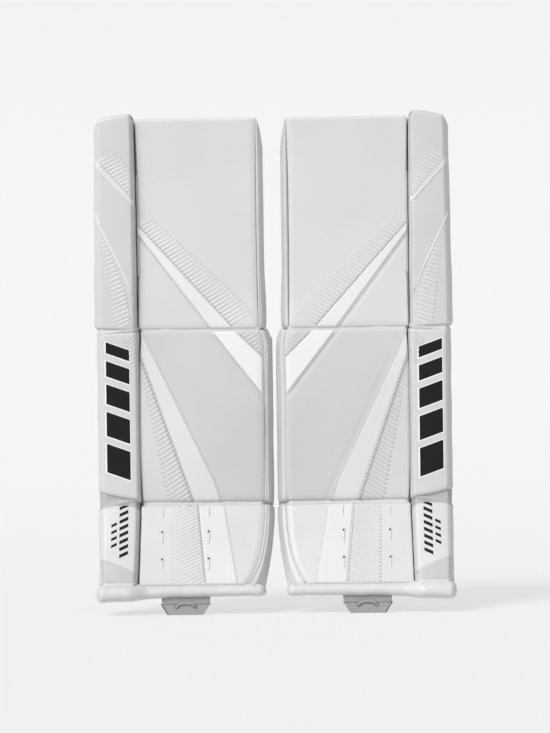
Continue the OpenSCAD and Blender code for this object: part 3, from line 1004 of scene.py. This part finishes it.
def lacing():
    """The lace's short runs down the boot, and an eyelet above each of the lower ones, with a dark disc of
    painted shade in its hole.
    """
    runs, rings, holes = [], [], []
    for u in LACE_COLUMNS:
        over = 0.7 if u < PAD_W / 2 else 0.0
        for row, (top, low) in enumerate(LACE_ROWS):
            path = [lifted("boot", u, -top + 0.5, -1.5)]
            for k in range(9):
                v = -top - 0.8 + (top - low + 0.8) * k / 8
                rise = over + 0.35 + 0.5 * math.sin(math.pi * k / 8)
                path.append(lifted("boot", u + 0.4 * math.sin(k), v, rise))
            path.append(lifted("boot", u, -low - 1.2, -1.5))
            runs.append(tube(path, 1.5, flat=0.45))
            if row:
                rings.append(tube([lifted("boot", u + x, y + EYELET_DROP - top, over + 0.35)
                                   for x, y in circle(2.3, 20)], 0.75, closed=True))
                # A dark disc over each eyelet's hole, just above the surface: painted shade where the hole
                # would be.
                disc = [[lifted("boot", u + x, y + EYELET_DROP - top, over + h)
                         for x, y in points + points[:1]]
                        for points, h in ((circle(0.02, 20), 0.3), (circle(1.2, 20), 0.3),
                                          (circle(2.0, 20), 0.28))]
                holes.append(slab(disc, [[(p[0], p[1] - 1.6, p[2]) for p in ring] for ring in disc]))
    emit("boot_lace", "boot", join(*runs), [LACE], "boot", ("boot_lace",), "lace")
    emit("boot_eyelets", "boot", join(*rings), [WHITE], "boot", ("boot_eyelets",), "eyelet_metal")
    trim("lace_holes", "boot", holes, DARK_PAINT_AND_HOLE_SHADE, "eyelet_metal")


# ---------------------------------------------------------------- toe hardware

TOE_MID = 141
TIE_SPREAD = 14.5
TIE_Z = 13


def bow(start, end, rise, depth, bulge):
    """Points of a loop's half, which arches over from side to side and bulges out in the middle."""
    turns = [math.pi * k / 14 for k in range(start, end)]
    return [(math.cos(a), depth + bulge * math.sin(a) ** 0.5, TIE_Z + rise * math.sin(a)) for a in turns]


def toe_hardware():
    """The cord that ties the skate, through two holes in the toe bridge, and the bridge's edging."""
    (_, rear, _), (_, front, _) = extent("toe_bridge")
    loop = [(TOE_MID - TIE_SPREAD * x, d, z) for x, d, z in bow(0, 15, 6.0, front + 0.6, 1.6)]
    loop += [(TOE_MID + TIE_SPREAD * x, d, z) for x, d, z in bow(1, 14, -4.0, rear - 0.6, -2.4)]
    emit("toe_tie", "floor", tube(loop, 2.0, 10, closed=True, flat=0.6), [ELASTIC], "toe", ("toe_tie",),
         "elastic_cord")
    rings = [tube([(TOE_MID + u + x, front + 0.1, TIE_Z + z) for x, z in circle(2.7, 24)], 0.55, closed=True)
             for u in (-TIE_SPREAD, TIE_SPREAD)]
    emit("tie_eyelets", "floor", join(*rings), [DARK_PAINT_AND_HOLE_SHADE], "toe", slot="eyelet_metal")
    half = bridge_half()
    edge = [[(TOE_MID + lerp(half - 11, half, t) + 0.2, d, 17.3 * t + 0.1)
             for d in (front + 0.2, rear - 0.2)] for t in (k / 8 for k in range(9))]
    wide = [[(p[0] + 1.5, p[1], p[2]) for p in row] for row in edge]
    emit("toe_bridge_edge", "floor", slab(wide, edge), [DARK_PAINT_AND_HOLE_SHADE], "toe", slot="bridge_plastic")


def bridge_half():
    low, high = extent("toe_bridge")
    return (high[0] - low[0]) / 2


def toe_tab():
    """The sewn tab that carries the toe bridge up into the toe roll."""
    (_, rear, _), (_, front, top) = extent("toe_bridge")
    half = bridge_half()

    def sheet(depth):
        return [[(TOE_MID + x * (half + 0.8 - 1.6 * (1 - t)), depth + 0.25 * ripple(x * 40, t * 20, 5.0, 8),
                  top - 2.5 + 15 * t) for x in steps(-1, 1, 0.04)] for t in steps(0, 1, 0.1)]

    emit("toe_tab", "floor", slab(sheet(front + 0.9), sheet(rear - 0.9)), [BRIDGE], "toe",
         slot="bridge_plastic")
    line = [(TOE_MID - half + 4, top), (TOE_MID + half - 4, top)]
    row = stitches(lambda u, v, lift: (u, front + 0.9 + lift, v), line, lift=0.1)
    emit("toe_tab_stitches", "floor", row, [THREAD], "toe", slot="bridge_plastic")


# ---------------------------------------------------------------- back panels and liners


def rectangle(low, high, inset, radius, arc=6, spacing=6.0):
    """A rounded rectangle's points, inset from two corners."""
    inset += radius
    a, b = (low[0] + inset, low[1] + inset), (high[0] - inset, high[1] - inset)
    points = []
    for quarter, (u, v) in enumerate((b, (a[0], b[1]), a, (b[0], a[1]))):
        for k in range(arc + 1):
            angle = math.pi / 2 * (quarter + k / arc)
            points.append((u + radius * math.cos(angle), v + radius * math.sin(angle)))
    points.append(points[0])
    count = int(polyline_length(points) / spacing)
    return [tuple(along_line(points, i / count)) for i in range(count)]


def sewn_panel(name, section, low, high, rear, front, channels, looks, slot, fill, sides_at=lambda v: (0, 0)):
    """A quilted panel on the back, from corner low to corner high in (u, v), with stitched channels
    and a bound edge, which stands for the CAD node of its name. channels lists its sewn lines, ("u",
    place) or ("v", place), and sides_at(v) is how far its two sides draw in at a height."""
    corner, depth = 9.0, 2.6

    def place(u, v, lift):
        edge = min(u - low[0], high[0] - u, v - low[1], high[1] - v)
        deep = min(corner, abs(rear - front) * 0.62)
        rounding = (1 - math.sqrt(1 - (1 - clamp(edge / corner)) ** 2)) * deep
        sewn = sum(math.exp(-(((u if axis == "u" else v) - at) / 3.0) ** 2) for axis, at in channels)
        left, right = sides_at(v)
        drawn = lerp(low[0] + left, high[0] - right, (u - low[0]) / (high[0] - low[0]))
        return drawn, rear + rounding + depth * min(sewn, 1.0) + 0.5 * ripple(u, v, rear + 61, 28) - lift, v

    columns, levels = (steps(low[i], high[i], 3.2, 1.2, corner) for i in (0, 1))
    back = [[place(u, v, 0) for u in columns] for v in levels]
    mesh = slab(back, [[(p[0], front, p[2]) for p in row] for row in back])
    emit(name, section, mesh, [looks], section, (name,), slot, fill)
    rows = []
    for axis, at in channels:
        line = [(at, low[1] + 8), (at, high[1] - 8)] if axis == "u" else [(low[0] + 8, at), (high[0] - 8, at)]
        rows.append(stitches(place, line, 5.2, 3.6, 0.1))
    inner = rectangle(low, high, 8.5, 6)
    rows.append(stitches(place, inner + inner[:1], 5.2, 3.4, 0.05))
    trim(f"{name}_stitches", section, rows, THREAD_DARK, "back_nylon")
    tape = tube([place(u, v, -0.2) for u, v in rectangle(low, high, 4.5, 9)], 2.2, 10, closed=True, flat=0.75)
    trim(f"{name}_binding", section, [tape], BINDING, "back_nylon")


def back_panels():
    def thigh_sides(v):
        return thigh_inner(v) - THIGH_IN + 1, THIGH_OUT - thigh_outer(v) + 1 + 5 * clamp((v - 300) / 40) ** 2

    nylon = NYLON, "back_nylon", 0.5
    knit = KNIT, "liner_mesh", 0.7
    sewn_panel("thigh_back", "thigh", (THIGH_IN, 2), (THIGH_OUT, THIGH_LEN - 14), 0.8, BACK_T + 0.8,
               [("u", 97), ("u", 196), ("v", 92), ("v", 178), ("v", 264)], *nylon, thigh_sides)
    sewn_panel("shin_back", "shin", (1.5, BOOT_Z + 4), (PAD_W - 1.5, KNEE_Z - 2), 0.8, BACK_T + 0.8,
               [("u", 52), ("u", 252), ("v", 310)], *nylon, lambda v: (shin_inner(v), 0))
    sewn_panel("boot_back", "boot", (2, -BOOT_LEN), (PAD_W, -4), 0.8, BACK_T + 0.8,
               [("u", 52), ("u", 252)], *nylon, lambda v: (boot_inner(v) + 2, 0))
    (left, _, low), (right, _, high) = extent("shin_liner")
    width = right - left
    channels = [("u", left + width * k / 4) for k in (1, 2, 3)] + [("v", lerp(low, high, 0.46))]
    sewn_panel("shin_liner", "shin", (left, low), (right, high), -9.4, 1.6, channels, *knit)
    channels = [("u", left + width * k / 3) for k in (1, 2)]
    sewn_panel("boot_liner", "boot", (left - 10, -136), (right, -14), -7.6, 1.6, channels, *knit)


def crease_tapes():
    """The folded nylon across the back of each crease."""
    for joint, upper, inner in (("knee", "thigh", 14), ("ankle", "boot", 6)):
        columns, levels = steps(inner, PAD_W - 3, 4, 1.5, 5), steps(-9, 9, 1.5)
        top = [[(u, 1.4 + 1.6 * abs(v / 9) ** 3 + 0.5 * ripple(u, v * 3, 77, 20), v) for u in columns]
               for v in levels]
        bottom = [[(u, BACK_T + 2, v * 0.45) for u in columns] for v in levels]
        bend(emit(f"{joint}_tape", joint, slab(top, bottom), [NYLON], slot="back_nylon"), joint, upper)


# ---------------------------------------------------------------- stuffed blocks and wings


def baked(form):
    graph = bpy.context.evaluated_depsgraph_get()
    return bpy.data.meshes.new_from_object(form.evaluated_get(graph))


def inflate(mesh, cap, keep, pressure=4.0, voxel=0.005, frames=20):
    """A shin-frame mesh remeshed and blown up as cloth. No point moves further than cap (mm), and
    keep(point) then holds the form off its neighbours."""
    scene = bpy.context.scene
    data = bpy.data.meshes.new("stuffing")
    data.from_pydata([to_world("shin", p, 1) for p in mesh[0]], [], mesh[1])
    form = bpy.data.objects.new("stuffing", data)
    scene.collection.objects.link(form)
    remesh = form.modifiers.new("remesh", "REMESH")
    remesh.mode = "VOXEL"
    remesh.voxel_size = voxel
    form.data = baked(form)
    form.modifiers.clear()
    cloth = form.modifiers.new("cloth", "CLOTH")
    for key, value in (("quality", 5), ("mass", 0.25), ("tension_stiffness", 18),
                       ("bending_stiffness", 1.5), ("compression_stiffness", 18),
                       ("use_pressure", True), ("uniform_pressure_force", pressure)):
        setattr(cloth.settings, key, value)
    cloth.settings.effector_weights.gravity = 0
    cloth.collision_settings.use_collision = False
    cloth.point_cache.frame_start = 1
    cloth.point_cache.frame_end = frames
    for step in range(1, frames + 1):
        scene.frame_set(step)
    blown = baked(form)
    form.modifiers.clear()
    for vertex, end in zip(form.data.vertices, blown.vertices):
        move = end.co - vertex.co
        if move.length > cap * MM:
            move = move.normalized() * cap * MM
        vertex.co = vertex.co + move
    scene.frame_set(1)
    form.modifiers.new("smooth", "SMOOTH").iterations = 2
    fine = form.modifiers.new("subdivide", "SUBSURF")
    fine.levels = 1
    fine.render_levels = 1
    done = baked(form)
    points = []
    for p in (vertex.co / MM for vertex in done.vertices):
        points.append(keep((p.x - HALF_GAP, BACK_Y - p.y, p.z)))
    sides = [list(polygon.vertices) for polygon in done.polygons]
    bpy.data.objects.remove(form)
    return points, sides, ["cloth"] * len(sides)


def placer(mesh, axis, from_side):
    """A placing function for the side of a mesh seen along an axis, in its other two coordinates."""
    tree = BVHTree.FromPolygons(mesh[0], mesh[1])

    def place(a, b, lift):
        origin, ray = [a, b], Vector()
        origin.insert(axis, from_side * 900)
        ray[axis] = -from_side
        hit, normal, _, _ = tree.ray_cast(Vector(origin), ray)
        if hit is None:
            origin[axis] = from_side * 100
            hit, normal, _, _ = tree.find_nearest(Vector(origin))
        return hit + normal * (lift if normal.dot(ray) <= 0 else -lift)

    return place


def pinched(mesh, lines, depth=2.2, width=3.2):
    """A stuffed mesh drawn in along level seams, listed by height."""
    verts, faces, tags = mesh
    middle = sum((Vector(p) for p in verts), Vector()) / len(verts)
    out = []
    for p in verts:
        pull = depth * max(math.exp(-((p[2] - line) / width) ** 2) for line in lines)
        away = Vector((p[0] - middle.x, p[1] - middle.y, 0)).normalized()
        out.append(tuple(Vector(p) - away * pull))
    return out, faces, tags


def block(name, seams):
    """A stuffed leather block behind the inner edge, with seams across it and piped rear edges."""
    (u0, rear, z0), (u1, _, z1) = extent(name)
    inset = 4.5
    left, right, low, high = u0 + inset, u1 - inset, z0 + inset, z1 - inset
    corners = [(left, -1, 4, 6, "side"), (left, rear + inset, 9, 6, "rear"),
               (right, rear + inset, 9, 6, "side"), (right, -1, 4, 6, "front")]
    base = extrusion(lambda v: corners, lambda u, d: low, lambda u, d: high, (low, high), (5, 8), (5, 8),
                     spacing=5.0, crown=1.5)

    def keep(p):
        return clamp(p[0], u0 + 0.2, u1), clamp(p[1], rear - 1, 0.3), clamp(p[2], z0 - 1, z1 + 1)

    mesh = pinched(inflate(base, 6.0, keep), seams)
    emit(name, "shin", mesh, [WHITE], "shin", (name,), "padded_white", 0.8)
    behind, outside = placer(mesh, 1, -1), placer(mesh, 0, 1)
    rows = []
    for z in seams:
        rows += [stitches(behind, [(u0 + 9, z + side), (u1 - 9, z + side)], lift=0.1) for side in (3, -3)]
        rows.append(stitches(outside, [(-10, z + 3), (rear + 12, z + 3)], lift=0.1))
    trim(f"{name}_stitches", "shin", rows, THREAD, "padded_white")
    lines = [[(u, z) for z in steps(z0 + 11, z1 - 11, 5)] for u in (u0 + 8, u1 - 8)]
    lines += [[(u, z) for u in steps(u0 + 10, u1 - 10, 4)] for z in (z1 - 9, z0 + 9)]
    cords = [tube([behind(u, z, 0.3) for u, z in line], 1.2) for line in lines]
    trim(f"{name}_piping", "shin", cords, WHITE, "padded_white")


def skid_stitches():
    """The row that sews the sliding sheet to the knee block."""
    (plate, *low), (_, *high) = extent("knee_skid")
    loop = rectangle(low, high, 5, 6)
    row = stitches(lambda d, v, lift: (plate - lift, d, v), loop + loop[:1], pitch=5.0, lift=0.05)
    trim("skid_stitches", "shin", [row], THREAD, "skid_plastic")


def along_path(path, s):
    """The point and the outward direction at a distance along a (u, d) path."""
    behind, here, ahead = (along_line(path, clamp((s + k) / polyline_length(path))) for k in (-1, 0, 1))
    along = (ahead - behind).normalized()
    return here, Vector((-along.y, along.x))


def wing_ring(path, thick):
    """The ring around a bent panel: out along one side of its middle line and back along the other."""
    near, far = [], []
    points = [Vector(p) for p in path]
    for i, p in enumerate(points):
        before = (p - points[i - 1]).normalized() if i else (points[1] - p).normalized()
        after = (points[i + 1] - p).normalized() if i < len(points) - 1 else before
        side = (Vector((-before.y, before.x)) + Vector((-after.y, after.x))).normalized()
        half = thick / 2 / side.dot(Vector((-before.y, before.x)))
        near.append(p + side * half)
        far.append(p - side * half)
    ends = near[0], near[-1], far[0], far[-1]
    return [(p.x, p.y, 4.0 if p in ends else 9.0, 8, "wing") for p in near + far[::-1]]


def wing_surface(mesh, path):
    """A placing function for the outer face of a wing, by distance along its path and height."""
    tree = BVHTree.FromPolygons(mesh[0], mesh[1])

    def place(s, v, lift):
        here, out = along_path(path, s)
        if out.x < 0 and abs(out.x) > abs(out.y):
            out = -out
        origin = Vector((here.x + out.x * 60, here.y + out.y * 60, v))
        hit = tree.ray_cast(origin, Vector((-out.x, -out.y, 0)))[0]
        if hit is None:
            hit = Vector((here.x + out.x * 6, here.y + out.y * 6, v))
        return hit + Vector((out.x, out.y, 0)) * lift

    return place


def pinched_along(mesh, path, seams, depth=2.0, width=3.4, marks=60):
    """A wing drawn in on both faces along upright seams, listed by distance along its path."""
    verts, faces, tags = mesh
    total = polyline_length(path)
    points = [along_line(path, i / marks) for i in range(marks + 1)]
    out = []
    for p in verts:
        flat = Vector((p[0], p[1]))
        near = min(range(marks + 1), key=lambda i: (points[i] - flat).length)
        away = flat - points[near]
        pull = depth * max(math.exp(-((total * near / marks - seam) / width) ** 2) for seam in seams)
        if away.length > 0.5:
            flat = flat - away.normalized() * pull
        out.append((flat.x, flat.y, p[2]))
    return out, faces, tags


def wing_binding(place, total, z0, z1):
    """The cord bound into the wing's free edges: out along one edge, round the end and back."""
    line = [(s, 8 + 15 * clamp(1 - (total - s) / total * 1.4) ** 2) for s in steps(6, total - 14, 4)]
    low = [(s, z0 + rise) for s, rise in line]
    high = [(s, z1 - rise) for s, rise in line[::-1]]
    end = [(total - 10, z) for z in steps(low[-1][1] + 8, high[0][1] - 8, 8)]
    return tube([place(s, z, -0.5) for s, z in low + end + high], 2.0, flat=0.8)


def wing(name, path, thick, seams):
    """A stuffed fabric wing behind the outer edge, where the frame hinges it. Its pieces are baked in place
    on no body, and the hinge line is worked out but not used.
    """
    (_, _, z0), (_, _, z1) = extent(name)
    end, total = Vector(path[-1]), polyline_length(path)

    def rounding(u, d):
        return 3 + 14 * clamp(1 - (Vector((u, d)) - end).length / total * 1.4) ** 2

    base = extrusion(lambda v: wing_ring(path, thick - 3.5), lambda u, d: z0 + rounding(u, d),
                     lambda u, d: z1 - rounding(u, d), (z0, z1), (3.5, 5), (3.5, 5), spacing=5.0, crown=1.5)
    low_d = min(p[1] for p in path) - thick / 2 - 1

    def keep(p):
        return p[0], clamp(p[1], low_d, -0.2), clamp(p[2], z0 - 1, z1 + 1)

    mesh = pinched_along(inflate(base, 3.0, keep), path, seams)
    place = wing_surface(mesh, path)
    rows = [stitches(place, [(s, z0 + 12), (s, z1 - 12)], 5.2, 3.5, 0.1) for s in seams]
    binding = wing_binding(place, total, z0, z1)
    pieces = emit(name, "shin", mesh, [WING], None, (name,), "wing_fabric", 0.6)
    pieces += emit(f"{name}_stitches", "shin", join(*rows), [THREAD_DARK], slot="wing_fabric")
    pieces += emit(f"{name}_binding", "shin", binding, [BINDING], slot="wing_fabric")
    hinge = JOINTS[f"left_{name}_open"]["pos_m"]
    for piece, (side, sign) in zip(pieces, SIDES * 3):
        start, end = ((sign * hinge[0], hinge[1] + y, hinge[2]) for y in (-0.002, 0.012))
        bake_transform(piece)
        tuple(start)
        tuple(end)


# ---------------------------------------------------------------- straps


def rounded_path(points, passes=3):
    """A path with its corners cut round."""
    path = [Vector(p) for p in points]
    for _ in range(passes):
        cut = [a.lerp(b, share) for a, b in zip(path, path[1:]) for share in (0.25, 0.75)]
        path = [path[0]] + cut + [path[-1]]
    return path


def ribbon(path, low, high, thick, spacing=2.4, rib=5.0):
    """A woven strap along a (u, d) path, with rounded edges and long ribs."""
    total = polyline_length(path)
    rows = int(total / spacing)
    outer, inner = [], []
    for s in (total * r / rows for r in range(rows + 1)):
        here, out = along_path(path, s)
        full = 0.4 + 0.6 * clamp(min(s, total - s) / 1.5)
        outer.append([])
        inner.append([])
        for z in steps(low, high, 1.25):
            edge = clamp(min(z - low, high - z) / 1.5)
            half = thick / 2 * (0.25 + 0.75 * math.sqrt(1 - (1 - edge) ** 2)) * full
            half += 0.16 * math.cos(2 * math.pi * (z - low) / rib) * edge
            for row, away in ((outer[-1], wave(s) + half), (inner[-1], wave(s) - half)):
                row.append((here.x + out.x * away, here.y + out.y * away, z))
    return slab(outer, inner)


def wave(s):
    """How far a strap strays from its path."""
    return 0.35 * math.sin(s / 14.0)


def strap(name, section, path, low, high, lap=0, thick=3):
    """A strap, its hook tape and its stitched ends, baked in place on no body. Where it leaves the body it is
    sewn to, after a lap along it, is worked out but not used."""
    path = rounded_path(path)
    total = polyline_length(path)
    middle = Vector((PAD_W / 2, -60))

    def place(s, v, lift):
        here, out = along_path(path, s)
        face = thick / 2 + wave(s) + lift
        out = out if (here + out - middle).length > (here - middle).length else -out
        return here.x + out.x * face, here.y + out.y * face, v

    tape = [[[place(s, z, lift) for z in steps(low + 3, high - 3, 3)]
             for s in steps(total - 46, total - 5, 2.5)] for lift in (1.3, -0.3)]
    rows = []
    for first, last, lift in ((2, 20, 0.15), (total - 44, total - 7, 1.35)):
        a, b, c, d = (first, low + 5), (last, low + 5), (last, high - 5), (first, high - 5)
        rows += [stitches(place, line, 4.0, 2.8, lift) for line in ([a, b, c, d, a], [a, c], [b, d])]
    pieces = emit(name, section, ribbon(path, low, high, thick), [WEBBING], None, (name,), "elastic_webbing")
    pieces += emit(f"{name}_hook_tape", section, slab(*tape), [HOOK], slot="back_nylon")
    pieces += emit(f"{name}_stitches", section, join(*rows), [THREAD], slot="back_nylon")
    hinge = Vector(JOINTS[f"left_{name}_open"]["pos_m"])
    leave = to_world(section, (*along_line(path, clamp((14 + lap) / total)), (low + high) / 2), 1) - hinge
    for piece, (side, sign) in zip(pieces, SIDES * 3):
        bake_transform(piece)


KNEE_WING = [(262, -8), (262, -62), (250, -96)]
CALF_WING = [(262, -8), (262, -66), (248, -108), (220, -134)]
KNEE_STRAP = [(266.8, -71.5), (262.6, -84), (259.2, -98.3), (256.7, -102.7), (251, -105.5), (200, -127),
              (120, -131), (66, -122), (14, -116)]
CALF_STRAP = [(247.3, -119.8), (238.3, -128.4), (228.6, -138.2), (224.8, -142.2), (219, -143.5), (150, -141),
              (90, -128), (52, -106), (12, -100)]
BOOT_STRAP = [(256, -7), (256, -48), (236, -80), (190, -97), (110, -97), (64, -86), (40, -56), (34, -14)]


def carried_nodes():
    """Materials for the CAD parts that stay."""
    for node, looks in (("toe_bridge", BRIDGE), ("knee_skid", SKID), ("boot_buckle", BUCKLE)):
        for side, _ in SIDES:
            for seat in frame["nodes"][f"{side}_{node}"].material_slots:
                seat.material = looks


# ---------------------------------------------------------------- build

for make in (thigh_case, shin_case, boot_case, thigh_roll, shin_roll, boot_roll, toe_roll):
    make()
gusset("knee", "thigh", LEAN, 2.6, 15, (10, 12), "face_leather", [FACE, ROLL])
# The ankle crease's roll part takes the darker leather: painted shade in the crease.
gusset("ankle", "boot", KICK, 3.6, 4, (13, 24), "white_leather", [GUSSET, PAINTED_CREASE_SHADE])
for make in (bands, rib_fields, sewing, piped_seams, roll_marks, boot_side_panel, lacing, toe_hardware,
             toe_tab, back_panels, crease_tapes):
    make()
block("knee_block", (345, 396))
block("calf_block", (235,))
skid_stitches()
wing("knee_wing", KNEE_WING, 12, (30, 58))
wing("calf_wing", CALF_WING, 12, (34, 66, 100))
strap("knee_strap", "shin", KNEE_STRAP, 372, 422, 28)
strap("calf_strap", "shin", CALF_STRAP, 235, 285, 26)
strap("boot_strap", "boot", BOOT_STRAP, -94, -56)
carried_nodes()

# ---------------------------------------------------------------- stage, light and camera


def paper_sweep():
    """A wide pale floor that curves up into a wall behind the pads."""
    paper = Finish("studio_paper")
    paper.link(paper.mix(paper.texture("Noise", 30, Detail=3.0), 0.215, 0.225), paper.inputs["Base Color"])
    for key, value in (("Emission Color", (1, 1, 1, 1)), ("Emission Strength", 0.63), ("Roughness", 0.9),
                       ("Specular IOR Level", 0.1)):
        paper.inputs[key].default_value = value
    wide, radius, near, wall, top, bends = 30.0, 2.0, -45.0, 9.0, 13.0, 24
    turns = [math.pi / 2 * k / bends for k in range(bends + 1)]
    path = [(near, 0.0)]
    path += [(wall - radius + radius * math.sin(a), radius - radius * math.cos(a)) for a in turns]
    path.append((wall, top))
    data = bpy.data.meshes.new("studio_sweep")
    data.from_pydata([(x, y, z) for y, z in path for x in (-wide, wide)], [],
                     [[2 * i, 2 * i + 1, 2 * i + 3, 2 * i + 2] for i in range(len(path) - 1)])
    data.materials.append(paper.made)
    data.shade_smooth()
    return bpy.data.objects.new("studio_sweep", data)


def key_light():
    sun = bpy.data.lights.new("key_light", "SUN")
    sun.energy = 2.65
    sun.angle = math.radians(24)
    key = bpy.data.objects.new("key_light", sun)
    key.rotation_euler = Vector((0.58, 0.90, -0.92)).to_track_quat("-Z", "Y").to_euler()
    return key


def camera():
    """A long lens in front of the pads, turned slightly about its own axis."""
    distance, view_height, azimuth, roll = 5.94, 1.171, math.radians(0.8), math.radians(-0.75)
    target = Vector((0.0014, -0.06, 0.3922))
    lens = bpy.data.cameras.new("camera")
    lens.sensor_width = 36
    lens.lens = lens.sensor_width * distance / view_height
    eye = bpy.data.objects.new("camera", lens)
    eye.location = target + Vector((math.sin(azimuth), -math.cos(azimuth), 0)) * distance
    aim = (target - eye.location).to_track_quat("-Z", "Y")
    eye.rotation_euler = (aim @ Quaternion((0, 0, 1), roll)).to_euler()
    return eye


def studio():
    scene = bpy.context.scene
    scene.view_settings.view_transform = "Standard"
    sweep, key, eye = paper_sweep(), key_light(), camera()
    for thing in (sweep, key, eye):
        scene.collection.objects.link(thing)
    scene.camera = eye
    scene.world = bpy.data.worlds.new("studio_air")
    scene.world.use_nodes = True
    sky = scene.world.node_tree.nodes["Background"]
    sky.inputs["Color"].default_value = (1, 1, 1, 1)
    sky.inputs["Strength"].default_value = 0.40


studio()
